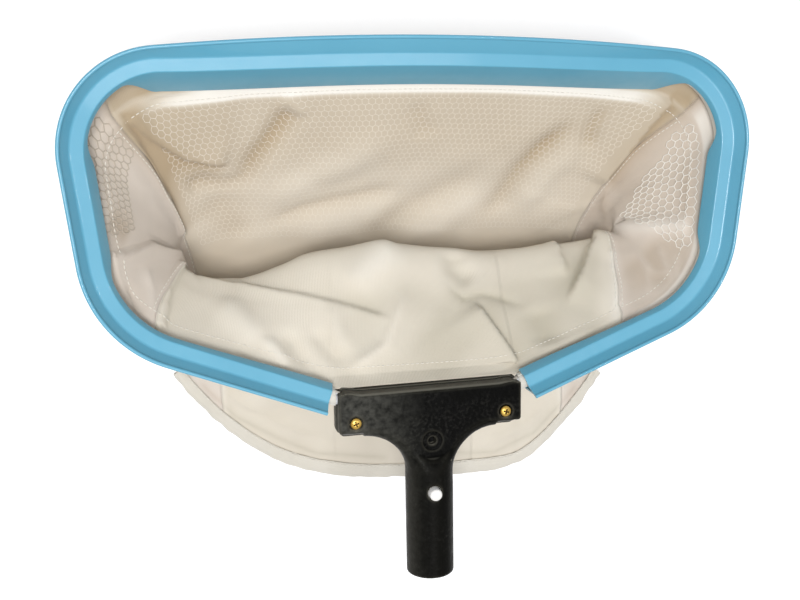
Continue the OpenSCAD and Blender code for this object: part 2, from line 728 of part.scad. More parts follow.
// A closed patch of cloth between two spokes, two rows and two depths
module bag_patch(k0, k1, j0, j1, depth0, depth1) {
    across = k1 - k0 + 1;
    down = j1 - j0 + 1;
    layer = across * down;
    points = [
        for (depth = [depth0, depth1]) for (j = [j0:j1]) for (k = [k0:k1]) bag_point(k, j, depth)
    ];
    function at(k, j) = (j - j0) * across + (k - k0);
    outer = [for (j = [j0:j1 - 1]) for (k = [k0:k1 - 1])
        each [[at(k, j), at(k + 1, j + 1), at(k + 1, j)], [at(k, j), at(k, j + 1), at(k + 1, j + 1)]]];
    inner = [for (f = outer) [f[2] + layer, f[1] + layer, f[0] + layer]];
    rim = concat(
        [for (k = [k0:k1 - 1]) [at(k, j0), at(k + 1, j0)]],
        [for (j = [j0:j1 - 1]) [at(k1, j), at(k1, j + 1)]],
        [for (k = [k1:-1:k0 + 1]) [at(k, j1), at(k - 1, j1)]],
        [for (j = [j1:-1:j0 + 1]) [at(k0, j), at(k0, j - 1)]]
    );
    edges = [for (e = rim)
        each [[e[0], e[1], e[0] + layer], [e[1], e[1] + layer, e[0] + layer]]];
    polyhedron(points, concat(outer, inner, edges));
}
module bag_long_panel() {
    color("antiquewhite") placed() bag_patch(-far_spoke, far_spoke, 0, rows, 0, cloth);
}
module bag_near_panel() {
    color("antiquewhite") placed()
        bag_patch(near_spoke, spokes - near_spoke, 0, rows, 0, cloth);
}
module bag_right_gusset() {
    color("linen") placed() bag_patch(far_spoke, near_spoke, 0, rows, 0, cloth);
}
module bag_left_gusset() {
    color("linen") placed() bag_patch(spokes - near_spoke, spokes - far_spoke, 0, rows, 0, cloth);
}
net_low = cloth + soft_gap;
module net_right() {
    color("white") placed()
        bag_patch(far_spoke + 1, near_spoke - 1, 1, 5, net_low, net_low + net_thickness);
}
module net_left() {
    color("white") placed() bag_patch(
        spokes - near_spoke + 1, spokes - far_spoke - 1, 1, 5, net_low, net_low + net_thickness);
}
module net_far() {
    color("white") placed()
        bag_patch(1 - far_spoke, far_spoke - 1, 2, 5, net_low, net_low + net_thickness);
}
// The tape bound over the two layers of the bag's end, as a bent bar
binding_steps = 24;
module end_seam_binding() {
    line = [
        for (i = [0:binding_steps]) let (x = sin(90 * (2 * i / binding_steps - 1)))
            [x * bag_width / 2, end_y + end_bow * pow(abs(x), bow_power)]
    ];
    n = len(line);
    function out_at(i) =
        let (along = line[min(i + 1, n - 1)] - line[max(i - 1, 0)]) -unit(left_of(along));
    levels = [floor_z - cloth, floor_z + end_gap + cloth];
    points = [for (i = [0:n - 1]) each [
        for (q = [[0, 0], [1, 0], [1, 1], [0, 1]])
            let (p = line[i] + (q.x == 0 ? soft_gap : binding_width) * out_at(i)) [p.x, p.y, levels[q.y]]
    ]];
    caps = concat(fan(0, 4, true), fan(4 * (n - 1), 4, false));
    color("ivory") placed() polyhedron(points, concat(ring_faces(n, 4, 0, false), caps));
}

rim_edge();
frame_rod();
hem_tape();
bag_long_panel();
bag_near_panel();
bag_left_gusset();
bag_right_gusset();
net_left();
net_right();
net_far();
end_seam_binding();
handle_body();
handle_back_plate();
screw_left();
screw_right();
nut_left();
nut_right();
clip_bow();
clip_arm_front();
clip_arm_rear();
clip_button_front();
clip_button_rear();
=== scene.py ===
"""Looks of the leaf skimmer net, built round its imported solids.

Shapes are worked out in millimetres in the part's own drawing frame, where x is to
the right, y towards the leading side and height 0 is the inner line of the edge's
shelf. row_point() and row_points() take them to the row frame in metres.
"""
import math

import bmesh
import bpy
import numpy as np
from mathutils import Matrix, Vector, noise


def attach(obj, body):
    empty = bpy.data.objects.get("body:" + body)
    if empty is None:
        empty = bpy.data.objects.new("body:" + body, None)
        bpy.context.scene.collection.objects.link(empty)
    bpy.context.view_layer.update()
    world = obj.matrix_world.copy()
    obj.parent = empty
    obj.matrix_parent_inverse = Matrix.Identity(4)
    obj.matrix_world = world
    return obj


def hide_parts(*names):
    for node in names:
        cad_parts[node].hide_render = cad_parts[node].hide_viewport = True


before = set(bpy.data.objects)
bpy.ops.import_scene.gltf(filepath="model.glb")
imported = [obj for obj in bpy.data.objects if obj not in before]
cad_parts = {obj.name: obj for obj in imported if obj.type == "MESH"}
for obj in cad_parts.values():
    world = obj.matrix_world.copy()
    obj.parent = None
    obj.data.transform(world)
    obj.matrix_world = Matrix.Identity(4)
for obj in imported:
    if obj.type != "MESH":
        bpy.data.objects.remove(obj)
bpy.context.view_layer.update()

# ---------------------------------------------------------------- sizes, in mm
RIM_HEIGHT = 105.0
SHIFT_Y = 10.959
LEAD_RADIUS, CORNER_RADIUS, BEND_RADIUS = 1700.0, 43.0, 56.0
SIDE_LENGTH = 53.0
SIDE_TURN, RAIL_TURN = math.radians(95.8), math.radians(158.5)
LEAD_Y, HALF_WIDTH, RAIL_END_X = 136.6, 186.978, 59.1
WALL, WALL_LEAN = 1.5, 0.45
SHELF = np.array([7.2, 1.5])
LIP = np.array([11.6, 8.5])
BEAD_RADIUS, LIP_WIDENING = 1.12, 2.9
LEG_INSIDE, LEG_OUTSIDE, LEG_DEPTH = 9.764, 11.264, 12.4
ROD_OUT, ROD_DROP, HEM_RADIUS = 4.4, 6.8, 5.064
HEM_END_X = 56.9
LEAD_DEPTH, CORNER_DEPTH, LOBE_DEPTH, RAIL_DEPTH, RAIL_END_DEPTH = 20.0, 3.5, 9.0, 4.5, 7.0
RAMP, LOBE_OVERRUN = 18.0, 14.0
ROD_Y = -63.54
HEAD_TOP_Y, FACE_Z = -50.14, 3.3
HEAD_HALF, HEAD_REAR_Y, HEAD_CORNER = 56.0, -80.54, 4.5
HEAD_CUT, HEAD_SKEW, RING_BACK = 2.8, 0.01, 2.6
RING_Y, BUTTON_Y = -82.74, -116.94
SCREW_X, SCREW_Y = 46.2, -70.74
TUBE_RADIUS = 14.7
STITCH = {"Pitch": 0.0031, "Length": 0.0023, "Thickness": 0.0006}  # in metres


def row_point(p):
    return (p[0] * 0.001, (p[1] + SHIFT_Y) * 0.001, (p[2] + RIM_HEIGHT) * 0.001)


def row_points(points):
    return (np.asarray(points, float) + [0.0, SHIFT_Y, RIM_HEIGHT]) * 0.001


# ------------------------------------------------------------------ rim's path
def outward(turn):
    return np.array([math.sin(turn), math.cos(turn)])


def heading(turn):
    return np.array([math.cos(turn), -math.sin(turn)])


LEAD_HALF = math.asin((HALF_WIDTH - CORNER_RADIUS) / (LEAD_RADIUS - CORNER_RADIUS))
lead_centre = np.array([0.0, LEAD_Y - LEAD_RADIUS])
corner_centre = lead_centre + (LEAD_RADIUS - CORNER_RADIUS) * outward(LEAD_HALF)
side_start = corner_centre + CORNER_RADIUS * outward(SIDE_TURN)
side_end = side_start + SIDE_LENGTH * heading(SIDE_TURN)
bend_centre = side_end - BEND_RADIUS * outward(SIDE_TURN)
rail_start = bend_centre + BEND_RADIUS * outward(RAIL_TURN)
RAIL_LENGTH = (rail_start[0] - RAIL_END_X) / -math.cos(RAIL_TURN)
rail_end = rail_start + RAIL_LENGTH * heading(RAIL_TURN)
CORNER_AT = LEAD_RADIUS * LEAD_HALF
SIDE_AT = CORNER_AT + CORNER_RADIUS * (SIDE_TURN - LEAD_HALF)
BEND_AT = SIDE_AT + SIDE_LENGTH
RAIL_AT = BEND_AT + BEND_RADIUS * (RAIL_TURN - SIDE_TURN)
TAIL_AT = RAIL_AT + RAIL_LENGTH
LOOP_HALF = TAIL_AT + rail_end[0]


def rim_at(run):
    """The path's point and turn at a length from the middle of the leading side."""
    if run < CORNER_AT:
        turn = run / LEAD_RADIUS
        return lead_centre + LEAD_RADIUS * outward(turn), turn
    if run < SIDE_AT:
        turn = LEAD_HALF + (run - CORNER_AT) / CORNER_RADIUS
        return corner_centre + CORNER_RADIUS * outward(turn), turn
    if run < BEND_AT:
        return side_start + (run - SIDE_AT) * heading(SIDE_TURN), SIDE_TURN
    if run < RAIL_AT:
        turn = SIDE_TURN + (run - BEND_AT) / BEND_RADIUS
        return bend_centre + BEND_RADIUS * outward(turn), turn
    return rail_start + (run - RAIL_AT) * heading(RAIL_TURN), RAIL_TURN


def rim_point(run, across, up):
    """A point beside the path; a run below 0 goes to the left."""
    p, turn = rim_at(abs(run))
    p = p + across * outward(turn)
    return np.array([-p[0] if run < 0 else p[0], p[1], up])


def ease(low, high, share):
    return low + (high - low) * (1 - math.cos(math.pi * min(max(share, 0), 1))) / 2


def depth_at(run):
    if run < CORNER_AT + RAMP * 1.1:
        return ease(LEAD_DEPTH, CORNER_DEPTH, (run - CORNER_AT - RAMP * 0.1) / RAMP)
    if run < (SIDE_AT + BEND_AT) / 2:
        return ease(CORNER_DEPTH, LOBE_DEPTH, (run - SIDE_AT + LOBE_OVERRUN) / RAMP)
    if run < (BEND_AT + RAIL_AT) / 2:
        return ease(LOBE_DEPTH, RAIL_DEPTH, (run - BEND_AT - LOBE_OVERRUN + RAMP) / RAMP)
    return ease(RAIL_DEPTH, RAIL_END_DEPTH, (run - RAIL_AT) / RAIL_LENGTH)


# ------------------------------------------------------------- shared material
def set_inputs(tree, node, inputs):
    """Sets a node's inputs, by name or in order, to values or to other nodes' sockets."""
    for label, value in inputs.items() if isinstance(inputs, dict) else enumerate(inputs):
        if isinstance(value, bpy.types.NodeSocket):
            tree.links.new(value, node.inputs[label])
        else:
            node.inputs[label].default_value = value
    return node


def add_node(tree, kind, inputs=(), **settings):
    node = tree.nodes.new(kind)
    for label, value in settings.items():
        setattr(node, label, value)
    return set_inputs(tree, node, inputs)


def math_node(tree, operation, *values):
    return add_node(tree, "ShaderNodeMath", values, operation=operation).outputs[0]


def clamped(tree, value):
    return add_node(tree, "ShaderNodeClamp", {"Value": value}).outputs[0]


def place_group(tree, group, **inputs):
    return add_node(tree, "ShaderNodeGroup", inputs, node_tree=group).outputs[0]


def object_place(tree):
    return add_node(tree, "ShaderNodeTexCoord").outputs["Object"]


def parts_of(tree, vector):
    return add_node(tree, "ShaderNodeSeparateXYZ", [vector]).outputs


def mix_colours(tree, mask, low, high):
    low, high = ((*c, 1.0) if isinstance(c, tuple) else c for c in (low, high))
    return add_node(tree, "ShaderNodeMix", {"Factor": mask, 6: low, 7: high}, data_type="RGBA").outputs[2]


def bumped(tree, height, distance):
    """The normal of a surface with fine relief, whose distance is in metres."""
    return add_node(tree, "ShaderNodeBump", {"Height": height, "Distance": distance}).outputs["Normal"]


def new_group(name, output, vector=None, **values):
    """A shader node group with a vector input, value inputs and one output."""
    group = bpy.data.node_groups.new(name, "ShaderNodeTree")
    if vector:
        group.interface.new_socket(vector, in_out="INPUT", socket_type="NodeSocketVector")
    for label, default in values.items():
        group.interface.new_socket(
            label, in_out="INPUT", socket_type="NodeSocketFloat").default_value = default
    group.interface.new_socket(output, in_out="OUTPUT", socket_type="NodeSocketFloat")
    return group, add_node(group, "NodeGroupInput").outputs


def close_group(group, result):
    add_node(group, "NodeGroupOutput", [result])
    return group


def make_mottle():
    """Cloudy variation between Low and High."""
    group, given = new_group("mottle", "Value", "Place", Scale=40.0, Low=0.0, High=1.0)
    cloud = add_node(group, "ShaderNodeTexNoise",
                     {"Vector": given["Place"], "Scale": given["Scale"], "Detail": 4})
    return close_group(group, add_node(group, "ShaderNodeMapRange", {
        "Value": cloud.outputs["Fac"], "From Min": 0.3, "From Max": 0.7,
        "To Min": given["Low"], "To Max": given["High"]}).outputs["Result"])


def make_threads():
    """Height of crossed threads from a cloth map in millimetres."""
    group, given = new_group("crossed threads", "Height", "Map", Pitch=1.0, Rib=0.5)
    waves = []
    for along in parts_of(group, given["Map"])[:2]:
        turns = math_node(group, "DIVIDE", along, given["Pitch"])
        waves.append(math_node(group, "SINE", math_node(group, "MULTIPLY", turns, 2 * math.pi)))
    cross = math_node(group, "MULTIPLY", *waves)
    ribs = math_node(group, "MULTIPLY", waves[0], given["Rib"])
    return close_group(group, math_node(group, "MULTIPLY", math_node(group, "ADD", cross, ribs), 0.5))


def make_worn_and_lit_edges():
    """A mask that is 1 on convex edges, from the mesh's pointiness, for wear and a painted highlight."""
    group, given = new_group("worn and lit edges", "Mask", Width=0.06)
    pointed = add_node(group, "ShaderNodeNewGeometry").outputs["Pointiness"]
    over = math_node(group, "SUBTRACT", pointed, 0.5)
    return close_group(group, clamped(group, math_node(group, "DIVIDE", over, given["Width"])))


def make_fold_shade():
    """How dark the painted shade is, from a point's shade mark."""
    group, given = new_group("fold shade", "Mask", Shade=0.0)
    return close_group(group, math_node(group, "POWER", clamped(group, given["Shade"]), 1.15))


MOTTLE, THREADS = make_mottle(), make_threads()
WORN_AND_LIT_EDGES, FOLD_SHADE = make_worn_and_lit_edges(), make_fold_shade()
CLOTH_MAP, SHADE_MARK = "cloth_mm", "fold_shade"
# Pale colour for pale bands and for painted highlights on ridges
PALE_AND_HIGHLIGHT = (0.88, 0.84, 0.77)


def mottle(tree, scale, low=0.0, high=1.0):
    return place_group(tree, MOTTLE, Place=object_place(tree), Scale=scale, Low=low, High=high)


def start_material(name, roughness, **sockets):
    material = bpy.data.materials.new(name)
    material.use_nodes = True
    tree = material.node_tree
    shader = tree.nodes["Principled BSDF"]
    set_inputs(tree, shader, {label.replace("_", " "): value for label, value in sockets.items()})
    shader.inputs["Roughness"].default_value = roughness
    return material, tree, shader


def make_plain(name, roughness, scale, low, high, rough=None, grain=None, **sockets):
    """A finish whose colour wanders between two, with uneven roughness and a fine grain."""
    material, tree, shader = start_material(name, roughness, **sockets)
    finish = {"Base Color": mix_colours(tree, mottle(tree, scale), low, high)}
    if rough:
        finish["Roughness"] = mottle(tree, *rough)
    if grain:
        finish["Normal"] = bumped(tree, mottle(tree, grain[0]), grain[1])
    set_inputs(tree, shader, finish)
    return material


def make_thread(name, colour):
    return make_plain(name, 0.75, 260.0, tuple(c * 0.9 for c in colour), colour,
                      Sheen_Weight=0.3, Specular_IOR_Level=0.3)


def make_metal(name, low, high, roughness, scale):
    return make_plain(name, roughness, scale, low, high,
                      (scale * 3, roughness * 0.8, roughness * 1.3), Metallic=1.0)


def make_cloth(name, low, high, pitch, rib, thread_height, sheen, rough=0.9, wrinkle=0.0, folded=True,
               shade=(0.66, 0.58, 0.47)):
    """Cream cloth: crossed threads from the piece's own map, over soft soiling."""
    material, tree, shader = start_material(
        name, rough, Sheen_Weight=sheen, Sheen_Roughness=0.5, Specular_IOR_Level=0.25)
    place = add_node(tree, "ShaderNodeUVMap", uv_map=CLOTH_MAP).outputs["UV"]
    threads = place_group(tree, THREADS, Map=place, Pitch=pitch, Rib=rib)
    gaps = clamped(tree, math_node(tree, "MULTIPLY_ADD", threads, -0.45, 0.12))
    soiled = mix_colours(tree, mottle(tree, 22.0), low, high)
    woven = mix_colours(tree, gaps, soiled, tuple(c * 0.9 for c in low))
    # Painted shade in folds and creases from each point's fold_shade mark; marks below 0 paint pale hem
    # bands, paler gusset ends and painted highlights on ridges
    if folded:
        mark = add_node(tree, "ShaderNodeAttribute", attribute_name=SHADE_MARK).outputs["Fac"]
        dark = place_group(tree, FOLD_SHADE, Shade=mark)
        woven = mix_colours(tree, dark, woven, tuple(c * k for c, k in zip(low, shade)))
        pale = math_node(tree, "MAXIMUM", math_node(tree, "MULTIPLY", mark, -1.0), 0.0)
        woven = mix_colours(tree, pale, woven, PALE_AND_HIGHLIGHT)
    relief = math_node(tree, "ADD", threads, mottle(tree, 130.0, 0.0, wrinkle))
    set_inputs(tree, shader, {"Base Color": woven, "Normal": bumped(tree, relief, thread_height)})
    return material


def make_handle_plastic():
    """Satin black with pale specks, a dusty left patch, and painted light and sheen on its walls and
    edges.
    """
    material, tree, shader = start_material("satin black plastic", 0.4, Specular_IOR_Level=0.03)
    specks = math_node(tree, "MULTIPLY", mottle(tree, 38.0, -0.6), mottle(tree, 520.0, -0.9))
    left = add_node(tree, "ShaderNodeMapRange", {
        "Value": parts_of(tree, object_place(tree))["X"], "From Min": -0.004, "From Max": -0.045})
    # A lighter patch on the left: dusty specks, and partly a painted sheen
    dust_and_sheen = math_node(tree, "MULTIPLY", left.outputs["Result"], mottle(tree, 300.0, 0.2))
    facing = parts_of(tree, add_node(tree, "ShaderNodeNewGeometry").outputs["Normal"])
    # Painted light: walls that face the leading side are painted lighter, as if lit from there, and steep
    # walls get a painted sheen
    leading = math_node(tree, "MULTIPLY_ADD", facing["Y"], 2.0, -1.1)
    sheen_on_steep_walls = math_node(tree, "MULTIPLY_ADD", facing["Z"], -1.0, 0.85)
    colour = (0.0012, 0.0012, 0.001)
    for mask, coat in (
            (clamped(tree, specks), (0.016, 0.0155, 0.0135)), (dust_and_sheen, (0.065, 0.064, 0.055)),
            # Edges lightened as wear and as a painted highlight
            (place_group(tree, WORN_AND_LIT_EDGES, Width=0.07), (0.085, 0.08, 0.062)),
            (clamped(tree, leading), (0.30, 0.285, 0.235)),
            (clamped(tree, sheen_on_steep_walls), (0.045, 0.042, 0.034))):
        colour = mix_colours(tree, mask, colour, coat)
    set_inputs(tree, shader, {
        "Base Color": colour, "Roughness": mottle(tree, 140.0, 0.26, 0.5),
        "Normal": bumped(tree, mottle(tree, 320.0), 0.00012)})
    return material


EDGE_PLASTIC = make_plain(
    "blue moulded edge", 0.34, 24.0, (0.098, 0.345, 0.485), (0.110, 0.368, 0.510), (160.0, 0.28, 0.4),
    (900.0, 0.00001), Coat_Weight=0.3, Coat_Roughness=0.09, Specular_IOR_Level=0.4)
LONG_CLOTH = make_cloth(
    "long panel cloth", (0.64, 0.565, 0.46), (0.69, 0.62, 0.515), 0.9, 0.3, 0.0001, 0.2)
NEAR_CLOTH = make_cloth(
    "near panel cloth", (0.71, 0.645, 0.54), (0.755, 0.695, 0.59), 0.9, 0.8, 0.0001, 0.15,
    shade=(0.62, 0.62, 0.56))
GUSSET_CLOTH = make_cloth(
    "sheer gusset cloth", (0.62, 0.54, 0.46), (0.69, 0.61, 0.53), 0.8, 0.2, 0.0001, 0.3, 0.7, 0.8)
HEM_CLOTH = make_cloth(
    "hem cloth", (0.72, 0.68, 0.60), (0.80, 0.76, 0.69), 0.8, 0.5, 0.00014, 0.3, 0.8, 0.6, folded=False)
BINDING_CLOTH = make_cloth(
    "binding cloth", (0.66, 0.62, 0.535), (0.72, 0.68, 0.60), 0.8, 0.5, 0.00014, 0.3, 0.8, 0.8,
    folded=False)
NET_THREAD = make_thread("net thread", (0.78, 0.72, 0.63))
WHITE_THREAD = make_thread("white net thread", (0.84, 0.80, 0.73))
GREY_THREAD = make_thread("greyed net thread", (0.50, 0.43, 0.345))
SEWING_THREAD = make_thread("sewing thread", (0.78, 0.74, 0.66))
HANDLE_PLASTIC = make_handle_plastic()
BRASS = make_metal("yellow brass", (0.34, 0.205, 0.04), (0.50, 0.33, 0.085), 0.3, 300.0)
# Dark brass in the screws' cross recesses: a painted shade in the hollow
RECESS_SHADE = make_metal("brass recess shade", (0.06, 0.035, 0.01), (0.10, 0.06, 0.02), 0.5, 300.0)
ROD_METAL = make_metal("drawn aluminium", (0.62, 0.62, 0.64), (0.74, 0.74, 0.76), 0.34, 90.0)
LATCH_PLASTIC = make_plain("white latch plastic", 0.4, 180.0, (0.74, 0.72, 0.69), (0.80, 0.78, 0.75),
                           grain=(180.0, 0.00004))


# ---------------------------------------------------------------- mesh helpers
def add_object(name, data):
    made = bpy.data.objects.new(name, data)
    bpy.context.scene.collection.objects.link(made)
    return made


def painted(mesh, material):
    mesh.materials.clear()
    mesh.materials.append(material)
    mesh.polygons.foreach_set("use_smooth", [True] * len(mesh.polygons))


def link_piece(name, mesh, material, sharp=38.0):
    painted(mesh, material)
    if sharp:
        mesh.set_sharp_from_angle(angle=math.radians(sharp))
    return add_object(name, mesh)


def new_mesh(name, points, faces):
    mesh = bpy.data.meshes.new(name)
    mesh.from_pydata(row_points(points).tolist(), [], faces)
    mesh.validate()
    return mesh


def band_faces(rings, count, first=0):
    """Quads between the rings of a sweep, which follow one another from a first point on."""
    quads = []
    for i in range(rings - 1):
        for k in range(count):
            a, b = first + i * count + k, first + i * count + (k + 1) % count
            quads.append((a, b, b + count, a + count))
    return quads


def edited(mesh, edit):
    """The mesh after an edit of its bmesh."""
    work = bmesh.new()
    work.from_mesh(mesh)
    edit(work)
    work.to_mesh(mesh)
    work.free()
    return mesh


def add_cloth_map(mesh, values):
    """The cloth's own map in millimetres, from a value pair for each point."""
    layer = mesh.uv_layers.new(name=CLOTH_MAP)
    index = np.zeros(len(mesh.loops), np.int32)
    mesh.loops.foreach_get("vertex_index", index)
    layer.data.foreach_set("uv", np.asarray(values, np.float32)[index].ravel())


def finished(piece, node, body="net"):
    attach(piece, body)
    if node:
        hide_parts(node)
    return piece


def applied(piece):
    """The piece with its modifiers made plain mesh."""
    bpy.context.view_layer.update()
    graph = bpy.context.evaluated_depsgraph_get()
    mesh = bpy.data.meshes.new_from_object(piece.evaluated_get(graph), depsgraph=graph)
    piece.modifiers.clear()
    old, piece.data = piece.data, mesh
    bpy.data.meshes.remove(old)
    return piece


# ----------------------------------------------------------- the moulded edge
def rounded(corners):
    """Points of a closed outline whose corners (x, y, radius, steps) are rounded."""
    result = []
    for i, (x, y, radius, steps) in enumerate(corners):
        here = np.array([x, y])
        if steps == 0:
            result.append(here)
            continue
        a = np.array(corners[i - 1][:2]) - here
        b = np.array(corners[(i + 1) % len(corners)][:2]) - here
        reach = min(np.linalg.norm(a), np.linalg.norm(b)) * 0.48
        a, b = a / np.linalg.norm(a), b / np.linalg.norm(b)
        half = math.acos(max(-1.0, min(1.0, float(a @ b)))) / 2
        radius = min(radius, reach * math.tan(half))
        middle = here + radius / math.sin(half) * (a + b) / np.linalg.norm(a + b)
        p, q = here + radius / math.tan(half) * a, here + radius / math.tan(half) * b
        start = math.atan2(*(p - middle)[::-1])
        turn = math.atan2(*(q - middle)[::-1]) - start
        turn = (turn + math.pi) % (2 * math.pi) - math.pi
        for k in range(steps + 1):
            angle = start + turn * k / steps
            result.append(middle + radius * np.array([math.cos(angle), math.sin(angle)]))
    return result


def leading_share(run):
    """1 in the middle of the leading side and 0 from its corners on."""
    return max(0.0, 1 - (abs(run) / CORNER_AT) ** 4)


def edge_section(depth):
    """The closed outline of the edge, (across, up), where its inner wall goes down to a depth."""
    foot = np.array([-WALL_LEAN * depth, -depth])
    along = -foot / np.linalg.norm(foot)
    wall_back = WALL * np.array([along[1], -along[0]])
    lower = foot + wall_back
    bead_centre = LIP + [0.33, -0.25]
    angles = [math.radians(216 - 248 * k / 14) for k in range(15)]
    bead = [(*(bead_centre + BEAD_RADIUS * np.array([math.cos(a), math.sin(a)])), 0, 0) for a in angles]
    return rounded([
        (*foot, 0.55, 3),
        (0.0, 0.0, 1.2, 6),
        (*SHELF, 2.4, 6),
        *bead,
        (LEG_OUTSIDE, 5.14, 0.8, 3),
        (LEG_OUTSIDE, -LEG_DEPTH, 0.5, 3),
        (LEG_INSIDE - 1.6, -LEG_DEPTH, 0.5, 3),
        (LEG_INSIDE - 1.6, 1.2 - LEG_DEPTH, 0.3, 2),
        (LEG_INSIDE, 1.68 - LEG_DEPTH, 0.2, 2),
        (LEG_INSIDE, 4.08, 0.4, 2),
        (7.506, 0.031, 0.6, 2),
        (1.75, -1.12, 0.9, 3),
        (*lower, 0.5, 2),
    ])


def widened(section, inset):
    """The section with its shelf and wall set further in, which widens its lip."""
    return [q - np.array([inset * float(smooth_step(11.0, 7.6, q[0])), 0.0]) for q in section]


def smooth_step(low, high, value):
    t = np.clip((value - low) / (high - low), 0, 1)
    return t * t * (3 - 2 * t)


def sweep_runs(start, stop, step):
    count = max(2, round((stop - start) / step))
    return [start + (stop - start) * i / count for i in range(count + 1)]


def make_edge():
    runs = sweep_runs(-TAIL_AT, TAIL_AT, 2.4)
    rings = []
    for run in runs:
        section = widened(edge_section(depth_at(abs(run))), LIP_WIDENING * leading_share(run))
        rings.append([rim_point(run, *q) for q in section])
    ring = len(rings[0])
    last = (len(runs) - 1) * ring
    ends = [tuple(range(ring - 1, -1, -1)), tuple(range(last, last + ring))]
    mesh = new_mesh("moulded_edge", np.concatenate(rings), band_faces(len(runs), ring) + ends)
    finished(link_piece("moulded_edge", mesh, EDGE_PLASTIC), "rim_edge")


# ------------------------------------------------------------------ hem on rod
HEM_SIDES, HEM_STRAIGHT, HEM_GATHER, HEM_PLEAT = 20, 16, 14, 0.35


def make_hem():
    """A sewn sleeve round the rod, gathered at its two ends by the handle."""
    slope = math.pi - RAIL_TURN
    tail = (2.5 + (ROD_OUT - HEM_RADIUS) * math.sin(slope) - 0.3) / math.cos(slope)
    whole, straight = TAIL_AT + tail, TAIL_AT + tail - HEM_STRAIGHT
    runs = sweep_runs(-whole, whole, 2.0)
    points = []
    for radius in (HEM_RADIUS - 0.1, HEM_RADIUS - 0.55):
        for run in runs:
            near_end = max(0.0, 1 - (whole - abs(run)) / HEM_GATHER)
            for k in range(HEM_SIDES):
                angle = 2 * math.pi * k / HEM_SIDES
                ripple = noise.noise(Vector((run * 0.09, math.cos(angle) * 1.6, math.sin(angle) * 1.6)))
                pleat = HEM_PLEAT * near_end * math.sin(9 * angle + run * 0.3)
                r = radius + min(0.12, 0.25 * ripple + pleat)
                across = ROD_OUT + r * math.cos(angle)
                stop = TAIL_AT + (RAIL_END_X + across * math.sin(slope) - HEM_END_X) / math.cos(slope)
                at = abs(run)
                if at > straight:
                    at = straight + (at - straight) * (stop - straight) / (whole - straight)
                points.append(rim_point(math.copysign(at, run), across, r * math.sin(angle) - ROD_DROP))
    count = len(runs) * HEM_SIDES
    faces = [(a, d, c, b) for a, b, c, d in band_faces(len(runs), HEM_SIDES)]
    faces += band_faces(len(runs), HEM_SIDES, count)
    last = count - HEM_SIDES
    for k in range(HEM_SIDES):
        b = (k + 1) % HEM_SIDES
        faces.append((k, b, count + b, count + k))
        faces.append((last + k, count + last + k, count + last + b, last + b))
    mesh = new_mesh("hem_sleeve", points, faces)
    add_cloth_map(mesh, [(run, k * 1.6) for run in runs for k in range(HEM_SIDES)] * 2)
    piece = finished(link_piece("hem_sleeve", mesh, HEM_CLOTH), "hem_tape")


# ------------------------------------------------------------------- the bag
SPOKES, ROWS = 48, 14
PER_SPOKE, PER_ROW = 8, 10
SPOKE_WIDTH = 2 * LOOP_HALF / SPOKES
FLOOR_Z = 1 - RIM_HEIGHT
END_Y = rail_end[1] - 90
FOLD_Y = rail_end[1] + 74
CREST = 54
MOUTH = LEAD_Y - rail_end[1]
THROAT_Z = -ROD_DROP - HEM_RADIUS - 4
END_WIDTH = 300
CLOTH_THICKNESS, ON_CLOTH, NET_JITTER = 0.5, 0.65, 0.25
BESIDE = 0.14  # from a seam to its stitches, in spokes
HEM_ROW, FLAP_ROWS = 1.38, (13.62, 13.8)
BINDING_WAVE, TAPE_STEP, TAPE_THICKNESS = 0.8, 1.4, 0.45
RAIL_SMOOTHING = 60
FLOOR_SINK = 0.6
# The highest rise of a fold on the bag's end, and how much more it may be elsewhere
END_RISE, MORE_RISE = 0.2, 12


def behind(y, share, z):
    """A bend of a side view, at a share of the mouth's length from y."""
    return y + share * MOUTH, z


far_line = [
    (LEAD_Y - WALL_LEAN * LEAD_DEPTH - 1, -LEAD_DEPTH - 5),
    (LEAD_Y - 0.225 * MOUTH, -LEAD_DEPTH - 0.286 * RIM_HEIGHT),
    behind(FOLD_Y, 0.128, FLOOR_Z + 0.133 * RIM_HEIGHT), behind(FOLD_Y, -0.086, FLOOR_Z),
    behind(END_Y, 0.353, FLOOR_Z), behind(END_Y, 0.16, FLOOR_Z), (END_Y, FLOOR_Z)]
near_line = [
    (rail_end[1] + 4, THROAT_Z), behind(rail_end[1], 0.203, -CREST * 0.62), (FOLD_Y, -CREST),
    behind(FOLD_Y, -0.107, FLOOR_Z + 0.152 * RIM_HEIGHT),
    behind(END_Y, 0.374, FLOOR_Z + 0.076 * RIM_HEIGHT),
    behind(END_Y, 0.182, FLOOR_Z + 5), (END_Y, FLOOR_Z + 3)]
side_line = [
    behind(rail_end[1], 0.535, THROAT_Z), behind(rail_end[1], 0.47, -RIM_HEIGHT * 0.5),
    behind(rail_end[1], 0.342, -RIM_HEIGHT * 0.72),
    behind(rail_end[1], 0.128, FLOOR_Z + 0.143 * RIM_HEIGHT),
    behind(rail_end[1], -0.16, FLOOR_Z + 0.076 * RIM_HEIGHT), behind(END_Y, 0.182, FLOOR_Z + 3),
    (END_Y, FLOOR_Z + 1.5)]
width_line = [HALF_WIDTH - 4, HALF_WIDTH * 0.84, HALF_WIDTH * 0.76, HALF_WIDTH * 0.74,
              END_WIDTH * 0.48, END_WIDTH / 2, END_WIDTH / 2]
bow_line = [0, 0, 0, 0.1, 0.45, 0.85, 1]
END_BOW, BOW_POWER, SIDE_SHARE = 74, 2.9, 0.1
CREST_ROW = 5.33
